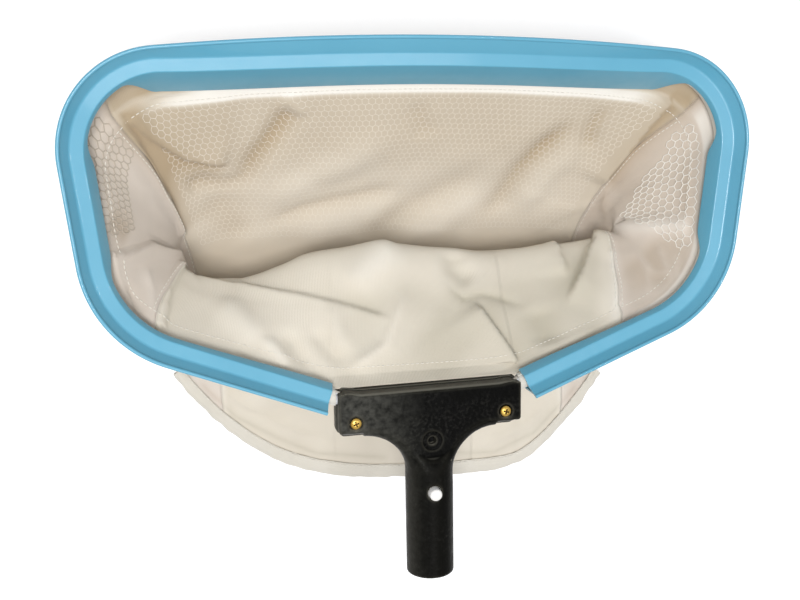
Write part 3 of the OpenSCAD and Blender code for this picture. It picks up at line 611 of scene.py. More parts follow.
# The near panel's crest: x, y and height of points along it
crest_line = np.array([
    (-175, 6, -58), (-150, 8, -66), (-133, 10, -62), (-106, 8.7, -60), (-68, 20.9, -58),
    (-16, 29.2, -50), (14, 23.5, -50), (49, 20, -55), (106, 21.8, -60), (130, 25.6, -60),
    (150, 26, -62), (175, 26, -62)])
END_TILT, END_SHIFT, END_BULGE = 0.07, 3.0, 8.0


def lie_askew(points, share):
    """The bag's end lies a little askew on the ground."""
    points = np.array(points, float)
    points[..., 1] -= END_TILT * points[..., 0] * share
    points[..., 1] -= END_BULGE * np.exp(-((points[..., 0] - 92) / 34) ** 2) * share
    points[..., 0] += END_SHIFT * share
    return points


def smooth_at(values, v):
    """Values at even steps, passed smoothly, at shares v from 0 to 1."""
    values = np.asarray(values, float)
    n = len(values) - 1
    t = np.clip(v, 0, 1) * n
    i = np.minimum(np.floor(t).astype(int), n - 1)
    f = t - i
    if values.ndim > 1:
        f = f[:, None]
    p0, p1 = values[np.maximum(i - 1, 0)], values[i]
    p2, p3 = values[i + 1], values[np.minimum(i + 2, n)]
    return p1 + f * ((p2 - p0) / 2 + f * (p0 - 2.5 * p1 + 2 * p2 - p3 / 2
                     + f * (1.5 * p1 - 1.5 * p2 + p3 / 2 - p0 / 2)))


def bag_grid():
    """Points [column, row] of the bag's outer face, before its folds."""
    columns = SPOKES * PER_SPOKE
    mouth, top, sign = [], [], []
    for c in range(columns):
        right = c <= columns / 2
        run = LOOP_HALF * (2 * c / columns if right else 2 - 2 * c / columns)
        sign.append(1.0 if right else -1.0)
        if run < TAIL_AT:
            mouth.append(rim_at(run)[0])
            x, y, _ = rim_point(run, ROD_OUT, 0)
            top.append((x, max(y, rail_end[1]), -ROD_DROP - HEM_RADIUS - 1.3))
        else:
            x = rail_end[0] - (run - TAIL_AT)
            mouth.append((x, rail_end[1]))
            top.append((x, HEAD_TOP_Y + 1.4 - HEAD_CUT + HEAD_SKEW * sign[-1] * x, -ROD_DROP - 2.0))
    mouth, top, sign = np.array(mouth), np.array(top), np.array(sign)
    rows = np.arange(ROWS * PER_ROW + 1) / PER_ROW
    v = np.clip((rows - 1) / (ROWS - 1), 0, 1)
    far, near, side = (smooth_at(line, v) for line in (far_line, near_line, side_line))
    wide, bow = smooth_at(width_line, v), smooth_at(bow_line, v)
    middle, half = (LEAD_Y + rail_end[1]) / 2, (LEAD_Y - rail_end[1]) / 2
    share = (mouth[:, 1] - middle) / half
    up = np.maximum(share - SIDE_SHARE, 0) / (1 - SIDE_SHARE)
    down = np.maximum(SIDE_SHARE - share, 0) / (1 + SIDE_SHARE)
    x = mouth[:, 0] / HALF_WIDTH
    grid = np.zeros((columns, len(rows), 3))
    yz = (side[None] + up[:, None, None] * (far - side)[None]
          + down[:, None, None] * (near - side)[None])
    grid[..., 0] = x[:, None] * wide[None]
    grid[..., 1] = yz[..., 0] + END_BOW * bow[None] * (np.abs(x) ** BOW_POWER)[:, None]
    grid[..., 2] = yz[..., 1]
    start = np.clip(rows, 0, 1)[None, :, None]
    grid = np.where(rows[None, :, None] < 1, top[:, None] * (1 - start) + grid * start, grid)
    grid[..., 0] *= sign[:, None]
    around = np.abs((np.arange(columns) / PER_SPOKE + SPOKES / 2) % SPOKES - SPOKES / 2)
    bend = TAIL_AT / LOOP_HALF * SPOKES / 2
    share = smooth_step(2.2, 0.8, np.abs(around - bend))[:, None, None]
    share = share * smooth_step(1, 2, rows)[None, :, None]
    for _ in range(RAIL_SMOOTHING):
        grid += share * (np.roll(grid, 1, 0) / 2 + np.roll(grid, -1, 0) / 2 - grid)
    crest = grid[:, round(CREST_ROW * PER_ROW)]
    target = np.stack(
        [np.interp(crest[:, 0], crest_line[:, 0], crest_line[:, k]) for k in (1, 2)], axis=1)
    weight = smooth_step(12, 15, around)[:, None] * np.exp(-((rows - CREST_ROW) / 2.2) ** 2)[None]
    grid[..., 1:] += weight[..., None] * (target - crest[:, 1:])[:, None]
    return lie_askew(grid, smooth_step(7, ROWS, rows)[None])


FAR_SEAM, NEAR_SEAM = 9, 16
# How far the seams stray from their spokes, by row
SEAM_ROWS = [0, 1.6, 2.6, 3.7, 5.0, 7.0, 10.0]
STRAY = {NEAR_SEAM: [1.4, 0.9, 0.0, -1.0, -2.0, -1.6, 0.0],
         -NEAR_SEAM: [0.0, 0.7, 1.2, 1.9, 2.5, 1.8, 0.0],
         -FAR_SEAM: [0.2, -0.1, -0.3, -0.6, -0.6, -0.3, 0.0]}


def seamed_grid(grid):
    """The bag's points with the columns moved so that its seams run askew."""
    columns, rows = grid.shape[:2]
    spoke = np.arange(columns) / PER_SPOKE
    around = (spoke + SPOKES / 2) % SPOKES - SPOKES / 2
    result = np.empty_like(grid)
    knots = np.arange(-columns, 2 * columns)
    for j in range(rows):
        moved = np.zeros(columns)
        for seam, stray in STRAY.items():
            near = np.clip(1 - np.abs(around - seam) / 7, 0, 1)
            moved += np.interp(j / PER_ROW, SEAM_ROWS, stray) * near * near * (3 - 2 * near)
        at = np.arange(columns) + moved * PER_SPOKE
        for k in range(3):
            result[:, j, k] = np.interp(at, knots, np.tile(grid[:, j, k], 3))
    return result


class Cloth:
    """Points [column, row] of the bag's face, with normals that point into the bag."""

    def __init__(self, points):
        around = np.roll(points, -1, 0) - np.roll(points, 1, 0)
        normal = np.cross(np.gradient(points, axis=1), around)
        self.points = points
        self.normals = normal / np.maximum(np.linalg.norm(normal, axis=2, keepdims=True), 1e-9)

    def at(self, spoke, row, lift=0.0):
        """A point of the cloth at a spoke and a row, lifted into the bag."""
        c, r = spoke * PER_SPOKE, min(max(row * PER_ROW, 0), self.points.shape[1] - 1.001)
        c0, r0 = math.floor(c), math.floor(r)
        total = np.zeros(3)
        for dc, wc in ((0, 1 - (c - c0)), (1, c - c0)):
            for dr, wr in ((0, 1 - (r - r0)), (1, r - r0)):
                cell = (c0 + dc) % len(self.points), r0 + dr
                total += wc * wr * (self.points[cell] + lift * self.normals[cell])
        return total


def from_line(grid, line):
    """Distance of each point from a bent line, its side, and the share along it."""
    line = np.asarray(line, float)
    lengths = np.linalg.norm(np.diff(line, axis=0), axis=1)
    total, before = lengths.sum(), 0.0
    best = np.full(grid.shape[:2], 1e9)
    along = np.zeros(grid.shape[:2])
    nearest = np.zeros(grid.shape)
    direction = np.zeros(grid.shape)
    for a, b, length in zip(line[:-1], line[1:], lengths):
        t = np.clip(((grid - a) @ (b - a)) / length ** 2, 0, 1)
        foot = a + t[..., None] * (b - a)
        distance = np.linalg.norm(grid - foot, axis=2)
        closer = distance < best
        best = np.where(closer, distance, best)
        along = np.where(closer, (before + t * length) / total, along)
        nearest[closer] = foot[closer]
        direction[closer] = (b - a) / length
        before += length
    return best, along, grid - nearest, direction


def fold_shape(cloth, line, kind, width, taper):
    """A fold's shape along a line: soft is a wave, crease a sharp ridge, lap an overlap.

    A lap is high on the right-hand side of its line, seen from inside the bag.
    """
    distance, along, offset, direction = from_line(cloth.points, line)
    ends = np.clip(along / taper[0], 0, 1) * np.clip((1 - along) / taper[1], 0, 1)
    ends = ends * ends * (3 - 2 * ends)
    if kind != "lap":
        high = np.exp(-(distance / width) ** (2 if kind == "soft" else 1)) * ends
        return high, high
    right = np.einsum("ijk,ijk->ij", np.cross(direction, cloth.normals), offset) > 0
    high = np.where(right, np.exp(-distance / width), np.exp(-(distance / LAP_EDGE) ** 2))
    # The second value is the fold's painted shade, darkest on a lap's low side
    return high * ends, np.where(right, 0.25, 1.0) * np.exp(-distance / (0.6 * width)) * ends


LAP_EDGE, HEM_BAND, BLUNT = 1.5, -0.95, (0.3, 0.3)
# Each fold's kind, its width and height in mm, its painted shade from -1, pale, which is a painted
# highlight on ridges, to 1, dark, and how far in from each end it reaches its full height, as a share (0.3
# where nothing is said).
# Then its line: the spoke, counted from the middle of the far side, and the row of points
FOLDS = """
    # near panel
    lap 16 3.4 0.3 0.02 0.1: -13.6 3.7, -15.2 4.4, -17 4.3, -19.6 3.6, -21.5 3.3, -23.1 2.8
    crease 6 5.5 -0.35 0.35 0.2: -23.8 4, -23.5 3.5, -23.1 2.7, -22.8 2.1, -22.2 1.7, -21.5 1.2
    lap 16 6.5 0.4 0.2 0.05: 21.8 3.4, 21.5 2.7, 21.2 1.9, 21 0.9
    crease 3 -2.4 0.4: 22.9 4.1, 22.1 3.5, 21.2 3.6, 20.6 3.4, 19.6 2.7
    soft 8 -4 0.3: 22.2 5.4, 22.2 4.5, 21.5 3.9
    soft 12 4.5 -0.3: -23.4 5.8, -22.5 4.5, -21.9 4.1, -21.4 3.6
    lap 14 3.5 0.3 0.02 0.3: 17 5.4, 17.4 4.1, 17.6 3.4
    lap 18 6.5 0.4 0.3 0.1: 18.4 2.3, 17.2 3.1, 15.8 4.3, 14.2 5.3, 13.4 5.2
    lap 9 3.6 0.45 0.1 0.1: -13.2 5, -13.8 4.1, -14.9 2.5, -16 0.2
    soft 4.5 2.8 -0.2: -18.6 2, -19.2 1.5, -19.8 0.7
    soft 9 3 -0.15: -16.4 3.2, -18 2.2, -18.8 1.6
    soft 5 -2.5 0.2: -19.2 2.4, -19.9 1.7, -20.4 0.9
    soft 5 -2.2 0.15: -20.2 2.6, -20.8 2, -21.5 1.4
    soft 6 2.6 -0.1: -20.8 3.6, -21 2.7, -21.6 1.7
    crease 3 -1.6 0.25: -18 1, -18.8 0.5
    crease 3 -1.8 0.3: -20.3 1, -20.9 0.7
    soft 5 2 -0.1: 20.4 0.9, 19.1 0.6, 18 0.6
    soft 10 -3 0.25: 19.4 2.8, 19.6 1.8, 19.8 0.9
    crease 2.5 1.6 -0.6 0.1 0.1: 15 3.8, 16.1 2.6, 17 1.6, 17.5 0.2
    soft 24 -0.6 0.25: 24 2.8, 23 2, 22.4 1.2
    soft 26 0 0.1: 20.6 2.6, 19.6 1.8, 19 1
    soft 16 0 0.1: 18.2 3.4, 18 2.2, 18.4 1.2
    soft 20 0 0.15 0.5 0.5: 22 5, 20 4.6, 18.6 4.2, 16.8 3.8
    # far panel
    soft 6.5 -4 0.5 0.15 0.25: -3.9 1.95, -4.5 2.6, -5.1 3.1, -5.6 3.45, -6.1 3.9, -6.5 4.2
    soft 6 -2.5 0.3 0.3 0.1: -5.6 3.9, -6.4 4.15, -7.2 4.25, -8 4.05, -8.6 4.1
    soft 22 2 0.12: -8 1.6, -6.6 2.2, -5.4 2.2
    crease 5 2.5 -0.1: -4.2 1.5, -3.8 1.9, -3.6 2.4
    lap 14 5.5 0.8 0.12 0.1: -6.6 3.65, -7.4 3.5, -8.1 3.2, -8.6 2.3, -8.7 1
    soft 14 -2 0.35: -8 4.4, -7.2 5.4, -6.8 6.6
    soft 6 -3 0.3: -6.3 5.9, -5.1 5.5, -4.2 5.2, -2.5 5, -0.8 4.8, 0.5 4.5
    soft 12 3.6 -0.15: -5.1 6.3, -2.5 5.8, 0.5 5.3
    soft 13 4 -0.2: -6.6 4.9, -4.5 4.5, -2.1 3.8, -0.5 2.8
    soft 11 -3.2 0.25: -2 6.6, 0.2 5.6, 2.2 4.7, 3.6 3.9
    soft 11 2.8 -0.15: -0.5 7, 2 6.1, 4 4.6
    soft 8 -4.5 0.55: 6 2.2, 5.5 3.4, 5 4.1, 4.7 5.1, 3.9 6.1
    soft 9 3.2 -0.1: 6.9 2.9, 6.3 4.4, 5.6 5.7
    soft 5 -2.4 0.3: 6.5 1.8, 6.8 2.6, 7.4 3.5
    soft 7 -1.6 0.12: 0 1.9, 0.8 3.3
    crease 3 1.8 0.3: -8.3 0.75, -7.5 0.95, -6.6 0.85
    crease 2.5 -1.4 0.4: -8 1.05, -7.2 1.15, -6.2 1
    crease 2.5 1.4 0.3: 6 0.9, 7.2 0.85, 8.2 0.8
    # left gusset
    lap 19 4.5 0.75 0.05 0.1: -8.8 0.9, -9.2 2.3, -9.6 3.8, -9.6 5.4
    lap 12 3.4 0.25 0.05 0.05: -13.2 0.6, -13.2 1.7, -12.8 2.7, -12.5 4.4
    crease 3.5 2 -0.15: -13.6 2.3, -14.6 2, -15.6 0.5
    crease 3.5 -1.8 0.25: -14 1.4, -14.9 0.8, -15.3 0.3
    soft 9 -0.6 0.65: -11.9 1.2, -12.6 2
    soft 7 1.6 -0.1: -9.8 1.6, -10.4 3, -10.6 4.6
    # right gusset
    lap 18 5 0.75 0.05 0.15: 8.4 0.9, 8.6 2.1, 8.9 3.1, 9 4.3
    crease 4 2 0.3: 9.1 4, 9.9 4.6, 11.4 4.5
    lap 6 2.6 0.6: 8.2 0.95, 8.6 0.85, 9.1 0.6
    soft 6 3.2 -0.6 0.1 0.1: 11.9 4.2, 12.9 2.9, 13 2, 13 0.9
    crease 2.5 1.1 -0.3: 13.6 2.3, 14.5 1.7, 15.2 0.4
    crease 2.2 0.9 -0.3: 13.9 1.6, 14.6 1.1, 15 0.4
    crease 2.5 1.1 -0.2: 14 2.9, 14.9 2.2, 15.9 1.2
    crease 2.2 0.9 -0.2: 14.4 3.1, 15 1.9, 14.6 0.5
    soft 22 -1.5 0.4: 14.2 2.9, 14.8 1.9, 15.4 0.8
    crease 2.2 1 0.3: 10.2 1.4, 11.8 1.4, 13.1 1.1
    # the end on the ground
    crease 4 -1.4 0.15: -15.1 12.6, -17.2 12.4, -19.4 12.5, -22.1 12.7
    soft 7 -1.8 -0.1: -16 12.9, -17.8 11.4, -18.6 10.2
    soft 5 -1.8 0.1: 20.4 13, 18.2 12.6, 16.4 12.9
    soft 6 -1.6 0.1: 22.4 13, 20.6 11.6
    crease 2.5 -0.9 0.45 0.05 0.05: -14.6 13.2, -16.6 13.35, -18.4 13.15, -20.2 13.35, -22 13.2, -23.6 13.3
    crease 2.5 -0.9 0.4 0.05 0.05: 23.6 13.3, 21.5 13.2, 19.5 13.35, 17.5 13.2, 14.8 13.3
"""


def numbers(text):
    return tuple(float(q) for q in text.split())


def read_folds():
    """The folds of the table as (line, kind, width, height, shade, taper)."""
    for entry in FOLDS.splitlines():
        if ":" in entry:
            head, line = entry.split(":")
            kind, sizes = head.split(maxsplit=1)
            width, height, shade, *taper = numbers(sizes)
            yield [numbers(p) for p in line.split(",")], kind, width, height, shade, taper or BLUNT


def folded_cloth():
    """The bag's cloth with its folds, and the painted shade of each point."""
    base = Cloth(bag_grid())
    plain = Cloth(seamed_grid(base.points))
    columns, rows = plain.points.shape[:2]
    spoke = (np.arange(columns)[:, None] / PER_SPOKE + SPOKES / 2) % SPOKES - SPOKES / 2
    row = np.arange(rows)[None] / PER_ROW
    rise, shade = np.zeros((2, columns, rows))
    for line, kind, width, height, tone, taper in read_folds():
        high, dark = fold_shape(plain, [base.at(*p) for p in line], kind, width, taper)
        line_rows = [p[1] for p in line]
        within = (row > min(line_rows) - 3) & (row < max(line_rows) + 3)
        rise += np.where(within, high, 0) * height
        shade += np.where(within, dark, 0) * tone
    for c in range(columns):
        for r in range(rows):
            p = plain.points[c, r]
            loose = min(1.0, max(0.0, (r / PER_ROW - 1.0) / 2.0))
            soft = noise.noise(Vector(p * 0.022)) * 2.2 + noise.noise(Vector(p * 0.06 + 7)) * 0.7
            rise[c, r] += loose * soft
    # Pale hem bands, their white partly painted light where the edge shades them, and paler gusset ends
    # that match the panels' cloth
    away = np.abs(spoke)
    far = smooth_step(9.4, 8.8, away)
    far_band = smooth_step(8.4, 7.0, away) * smooth_step(0.85, 0.95, row) * smooth_step(1.65, 1.5, row)
    right_band = 0.7 * smooth_step(9.0, 9.6, spoke) * smooth_step(16, 15, spoke)
    right_band = right_band * smooth_step(0.85, 0.65, row)
    tent = smooth_step(-20.6, -22.2, spoke) + smooth_step(16.4, 17.2, spoke)
    right = smooth_step(8.8, 9.4, spoke) * smooth_step(16, 15.4, spoke)
    sides = smooth_step(9.0, 9.4, away) * smooth_step(16.4, 16.0, away)
    shade += HEM_BAND * (far_band + right_band)
    # Painted shade on the far side's upper part and lower down, on the crest's tent, on the right gusset
    # and just under the edge
    shade += far * (1 - far_band) * (0.5 * smooth_step(5.2, 3.0, row) + 0.25 * smooth_step(6.0, 7.0, row))
    shade += 0.36 * tent * smooth_step(4.6, 3.4, row)
    shade += 0.25 * right * (1 - right_band)
    shade += 0.35 * far * smooth_step(0.95, 0.75, row)
    shade -= 0.35 * sides * smooth_step(8.0, 9.5, row)
    rise = np.minimum(rise, END_RISE + MORE_RISE * smooth_step(9.0, 7.2, row))
    end = np.clip((ROWS - row) / 1.5, 0, 1)
    start = np.clip((row - 0.3) / 0.7, 0, 1)
    grid = plain.points + (rise * end * start)[..., None] * plain.normals
    grid[..., 2] = np.maximum(grid[..., 2], FLOOR_Z - FLOOR_SINK)
    return Cloth(grid), np.clip(shade, -1, 1)


def shell_piece(name, cloth, shade, first, last, material):
    """A panel of cloth between two spokes, as a closed thin shell."""
    columns = [c % len(cloth.points) for c in range(first * PER_SPOKE, last * PER_SPOKE + 1)]
    outer = cloth.points[columns]
    inner = outer + CLOTH_THICKNESS * cloth.normals[columns]
    across, down = outer.shape[:2]
    layer = across * down
    at = np.arange(layer).reshape(across, down)
    a, b, c, d = (q.ravel() for q in (at[:-1, :-1], at[:-1, 1:], at[1:, 1:], at[1:, :-1]))
    edge = np.concatenate([at[:-1, 0], at[-1, :-1], at[:0:-1, -1], at[0, :0:-1]])
    after = np.roll(edge, -1)
    quads = ((a, b, c, d), (layer + a, layer + d, layer + c, layer + b),
             (after, layer + after, layer + edge, edge))
    faces = [np.stack(quad, 1) for quad in quads]
    mesh = new_mesh(name, np.concatenate([outer.reshape(-1, 3), inner.reshape(-1, 3)]),
                    np.concatenate(faces).tolist())
    lengths = np.cumsum(np.linalg.norm(np.diff(outer, axis=1, prepend=outer[:, :1]), axis=2), axis=1)
    widths = np.repeat(np.arange(across)[:, None] * SPOKE_WIDTH / PER_SPOKE, down, 1)
    add_cloth_map(mesh, np.tile(np.stack([widths, lengths], axis=2).reshape(-1, 2), (2, 1)))
    tone = mesh.attributes.new(SHADE_MARK, "FLOAT", "POINT")
    tone.data.foreach_set("value", np.tile(shade[columns].ravel(), 2).astype(np.float32))
    return link_piece(name, mesh, material, sharp=0)


# ------------------------------------------------------- repeated small pieces
def geometry_tree(name, **sizes):
    """A tree with inputs for lines, sizes and a thread, and the curve of its lines."""
    tree = bpy.data.node_groups.new(name, "GeometryNodeTree")
    tree.interface.new_socket("Lines", in_out="INPUT", socket_type="NodeSocketGeometry")
    for label, size in sizes.items():
        tree.interface.new_socket(
            label, in_out="INPUT", socket_type="NodeSocketFloat").default_value = size
    tree.interface.new_socket("Thread", in_out="INPUT", socket_type="NodeSocketMaterial")
    tree.interface.new_socket("Geometry", in_out="OUTPUT", socket_type="NodeSocketGeometry")
    given = add_node(tree, "NodeGroupInput").outputs
    return tree, given, add_node(tree, "GeometryNodeMeshToCurve", [given["Lines"]]).outputs["Curve"]


def close_tree(tree, given, grown):
    """Ends a tree with plain smooth faces in the thread's material."""
    for kind in ("GeometryNodeRealizeInstances", "GeometryNodeSetShadeSmooth"):
        grown = add_node(tree, kind, {"Geometry": grown}).outputs["Geometry"]
    paint = add_node(tree, "GeometryNodeSetMaterial", {"Geometry": grown, "Material": given["Thread"]})
    add_node(tree, "NodeGroupOutput", {"Geometry": paint.outputs["Geometry"]})
    return tree


def make_stitch_tree():
    """Oval stitches laid end to end along lines, with a gap between them."""
    tree, given, curve = geometry_tree("stitch run", **STITCH)
    points = add_node(
        tree, "GeometryNodeResampleCurve", {"Curve": curve, "Length": given["Pitch"]}, mode="LENGTH")
    ball = add_node(tree, "GeometryNodeMeshUVSphere", {"Segments": 8, "Rings": 5, "Radius": 0.5})
    along = add_node(tree, "GeometryNodeInputTangent").outputs["Tangent"]
    turn = add_node(tree, "FunctionNodeAlignRotationToVector", {"Vector": along}, axis="Z")
    size = add_node(
        tree, "ShaderNodeCombineXYZ", [given["Thickness"], given["Thickness"], given["Length"]])
    return close_tree(tree, given, add_node(tree, "GeometryNodeInstanceOnPoints", {
        "Points": points.outputs["Curve"], "Instance": ball.outputs["Mesh"],
        "Rotation": turn.outputs["Rotation"], "Scale": size.outputs["Vector"]}).outputs["Instances"])


def make_strand_tree():
    """Round strands along the edges of a flat drawing of a net."""
    tree, given, curve = geometry_tree("net strands", Radius=0.0003)
    ring = add_node(
        tree, "GeometryNodeCurvePrimitiveCircle", {"Resolution": 5, "Radius": given["Radius"]})
    return close_tree(tree, given, add_node(tree, "GeometryNodeCurveToMesh", {
        "Curve": curve, "Profile Curve": ring.outputs["Curve"], "Fill Caps": True}).outputs["Mesh"])


STITCHES, STRANDS = make_stitch_tree(), make_strand_tree()


def grown_piece(name, points, edges, tree, **values):
    """A piece that a geometry tree grows on a drawing of points and edges."""
    mesh = bpy.data.meshes.new(name)
    mesh.from_pydata(row_points(points).tolist(), edges, [])
    piece = add_object(name, mesh)
    modifier = piece.modifiers.new("grow", "NODES")
    modifier.node_group = tree
    for socket in tree.interface.items_tree:
        if socket.name in values:
            modifier[socket.identifier] = values[socket.name]
    return applied(piece)


def stitched(name, lines):
    points, edges = [], []
    for line in lines:
        edges += [(len(points) + i, len(points) + i + 1) for i in range(len(line) - 1)]
        points += line
    piece = grown_piece(name, points, edges, STITCHES, Thread=SEWING_THREAD, **STITCH)
    finished(piece, None)


def hex_net(name, node, cloth, spokes, rows, pitch, radius, thread, lift, border=None):
    """A hexagonal net laid over the cloth between two spokes, down to a row or a border line."""
    middle = cloth.points[int(sum(spokes) / 2 * PER_SPOKE) % len(cloth.points)]
    lengths = np.concatenate([[0], np.cumsum(np.linalg.norm(np.diff(middle, axis=0), axis=1))])
    steps = np.arange(len(lengths))
    top, bottom = (float(np.interp(row * PER_ROW, steps, lengths)) for row in rows)
    side = pitch / math.sqrt(3)
    points, known, made = [], {}, set()

    def row_at(length):
        return float(np.interp(length, lengths, steps / PER_ROW))

    def corner(a, b):
        key = (round(a * 20), round(b * 20))
        if key not in known:
            known[key] = len(points)
            jitter = NET_JITTER * noise.noise(Vector((a * 0.3, b * 0.3, 3.0)))
            points.append(cloth.at(spokes[0] + (a + jitter) / SPOKE_WIDTH, row_at(b + jitter), lift))
        return known[key]

    for j in range(int((bottom - top) / (1.5 * side)) - 1):
        for i in range(int((spokes[1] - spokes[0]) * SPOKE_WIDTH / pitch) - 1):
            x = pitch * (i + 1 + 0.5 * (j % 2))
            y = top + side * (1.5 * j + 1)
            if border and row_at(y + side) > np.interp(spokes[0] + x / SPOKE_WIDTH, *zip(*border)):
                continue
            turns = [math.radians(30 + 60 * k) for k in range(6)]
            ring = [corner(x + side * math.cos(turn), y + side * math.sin(turn)) for turn in turns]
            made |= {(min(a, b), max(a, b)) for a, b in zip(ring, ring[1:] + ring[:1])}
    piece = grown_piece(name, points, sorted(made), STRANDS, Radius=radius * 0.001, Thread=thread)
    finished(piece, node)


def make_bag():
    cloth, shade = folded_cloth()
    for name, first, last, material, flat in (
            ("long_panel", -FAR_SEAM, FAR_SEAM, LONG_CLOTH, (0.32, 0.29)),
            ("right_gusset", FAR_SEAM, NEAR_SEAM, GUSSET_CLOTH, (0.06, 0.225)),
            ("near_panel", NEAR_SEAM, SPOKES - NEAR_SEAM, NEAR_CLOTH, (0.32, 0.22)),
            ("left_gusset", SPOKES - NEAR_SEAM, SPOKES - FAR_SEAM, GUSSET_CLOTH, (0.047, 0.22))):
        piece = shell_piece(name, cloth, shade, first, last, material)
        finished(piece, f"bag_{name}")
    hex_net("far_net", "net_far", cloth, (-8.4, 8.4), (1.5, 6.6), 4.5, 0.155, NET_THREAD, 0.42)
    hex_net("right_net", "net_right", cloth, (9.3, 13.4), (0.9, 4.0), 5.6, 0.32, WHITE_THREAD, 0.7,
            [(9.5, 1.8), (10.1, 2.6), (10.9, 3.2), (12.1, 3.7), (12.8, 3.0), (13.2, 1.6)])
    hex_net("left_net", "net_left", cloth, (35.0, 38.9), (0.4, 2.4), 5.4, 0.34, GREY_THREAD, 0.7)
    stitched("hem_stitching", [[cloth.at(k / 4, HEM_ROW, ON_CLOTH) for k in range(SPOKES * 4 + 1)]])
    stitched("seam_stitching", [
        [cloth.at(spoke + beside, r / 4, ON_CLOTH) for r in range(6, ROWS * 4)]
        for spoke, beside in ((FAR_SEAM, BESIDE), (NEAR_SEAM, -BESIDE), (NEAR_SEAM, BESIDE),
                              (SPOKES - NEAR_SEAM, BESIDE), (SPOKES - FAR_SEAM, -BESIDE))])
    return cloth


def make_binding(cloth):
    """Tape folded over the bag's end, with a flap that is sewn down on the near panel."""
    steps = 240
    ends = cloth.points[:, -1, 0]
    order = sorted(range((FAR_SEAM + 3) * PER_SPOKE, (SPOKES - FAR_SEAM - 3) * PER_SPOKE + 1),
                   key=lambda c: ends[c])
    line, flap = [], []
    for i in range(steps + 1):
        x = math.sin(math.pi / 2 * (2 * i / steps - 1))
        p = lie_askew((x * END_WIDTH / 2, END_Y + END_BOW * abs(x) ** BOW_POWER), 1)
        line.append(p)
        spoke = float(np.interp(p[0], ends[order], order)) / PER_SPOKE
        stray = 0.07 * noise.noise(Vector((p[0] * 0.06, 9.0, 0.0)))
        flap.append([cloth.at(spoke, row + stray, -0.75) for row in FLAP_ROWS])
    low, high = FLOOR_Z - 1, FLOOR_Z + 4
    outer = np.array([
        (0.3, low), (1.4, low), (2.8, low), (4.2, low), (5.2, low + 0.5), (5.8, low + 1.4),
        (6.0, low + 2.5), (5.8, low + 3.6), (5.2, high - 0.5), (4.2, high - 0.1), (2.8, high),
        (1.0, high)])
    centre = np.array([0.3, (low + high) / 2])
    section = np.concatenate([outer, centre + (outer[::-1] - centre) * [0.9, 0.78]])
    half = len(outer)
    run = np.concatenate([[0], np.cumsum(np.linalg.norm(np.diff(line, axis=0), axis=1))])
    rows, cloth_map = [], []
    for i, p in enumerate(line):
        along = line[min(i + 1, steps)] - line[max(i - 1, 0)]
        out = -np.array([-along[1], along[0]]) / np.linalg.norm(along)
        row = []
        for a, z in section:
            wave = BINDING_WAVE * noise.noise(Vector((run[i] * 0.13, a * 0.3, z * 0.3)))
            row.append(np.array([*(p + (a + wave * min(1, a)) * out), max(z + wave, low)]))
        pucker = 0.6 * math.sin(run[i] * 0.9) + 2.6 * noise.noise(Vector((run[i] * 0.17, 5.0, 0.0)))
        over = [q + [0, 0, 0.5 + 0.3 * pucker] for q in flap[i][::-1]]
        rows += row[:half] + over + [q - [0, 0, TAPE_THICKNESS] for q in over[::-1]] + row[half:]
        widths = [TAPE_STEP * k for k in range(half + 2)]
        cloth_map += [(run[i], width) for width in widths + widths[::-1]]
    count = 2 * (half + 2)
    faces = band_faces(steps + 1, count)
    for first in (0, steps * count):
        for k in range(half + 1):
            faces.append((first + k, first + k + 1, first + count - 2 - k, first + count - 1 - k))
    mesh = edited(new_mesh("end_binding", rows, faces),
                  lambda work: bmesh.ops.recalc_face_normals(work, faces=work.faces))
    add_cloth_map(mesh, cloth_map)
    piece = finished(link_piece("end_binding", mesh, BINDING_CLOTH), "end_seam_binding")
    stitched("binding_stitching", [[(f[1] * 0.6 + f[0] * 0.4) + [0, 0, 0.75] for f in flap]])


# ------------------------------------------------------------------ the handle
VOXEL, MELT_PASSES = 0.0005, 220
LATHE_SIDES = 40


def node_copy(node, name):
    """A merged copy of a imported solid."""
    mesh = edited(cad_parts[node].data.copy(),
                  lambda work: bmesh.ops.remove_doubles(work, verts=work.verts, dist=0.00001))
    mesh.name = name
    if "custom_normal" in mesh.attributes:
        mesh.attributes.remove(mesh.attributes["custom_normal"])
    return add_object(name, mesh)


def head_corner(p, step):
    """A point of the head with its corners rounder and its leading side further back."""
    x, y, z = p[0] * 1000, p[1] * 1000 - SHIFT_Y, p[2] * 1000
    side, top = HEAD_HALF + step, HEAD_TOP_Y + step
    for middle_y, way in ((top - HEAD_CORNER, 1), (HEAD_REAR_Y - step + HEAD_CORNER, -1)):
        dx, dy = abs(x) - (side - HEAD_CORNER), (y - middle_y) * way
        if dx > 0 and dy > 0 and z > RIM_HEIGHT - 16:
            share = max(dx, dy) / math.hypot(dx, dy)
            x = math.copysign(side - HEAD_CORNER + dx * share, x)
            y = middle_y + way * dy * share
    cover = float(smooth_step(55, 42, abs(x)))
    y -= cover * (HEAD_CUT - HEAD_SKEW * x) * float(smooth_step(ROD_Y + 4.5, top, y))
    if z > RIM_HEIGHT - 3:
        y -= RING_BACK * float(smooth_step(16, 8, math.hypot(x, y - RING_Y)))
    return Vector((x * 0.001, (y + SHIFT_Y) * 0.001, p[2]))


def modify(piece, kind, **settings):
    modifier = piece.modifiers.new(kind.lower(), kind)
    for label, value in settings.items():
        setattr(modifier, label, value)


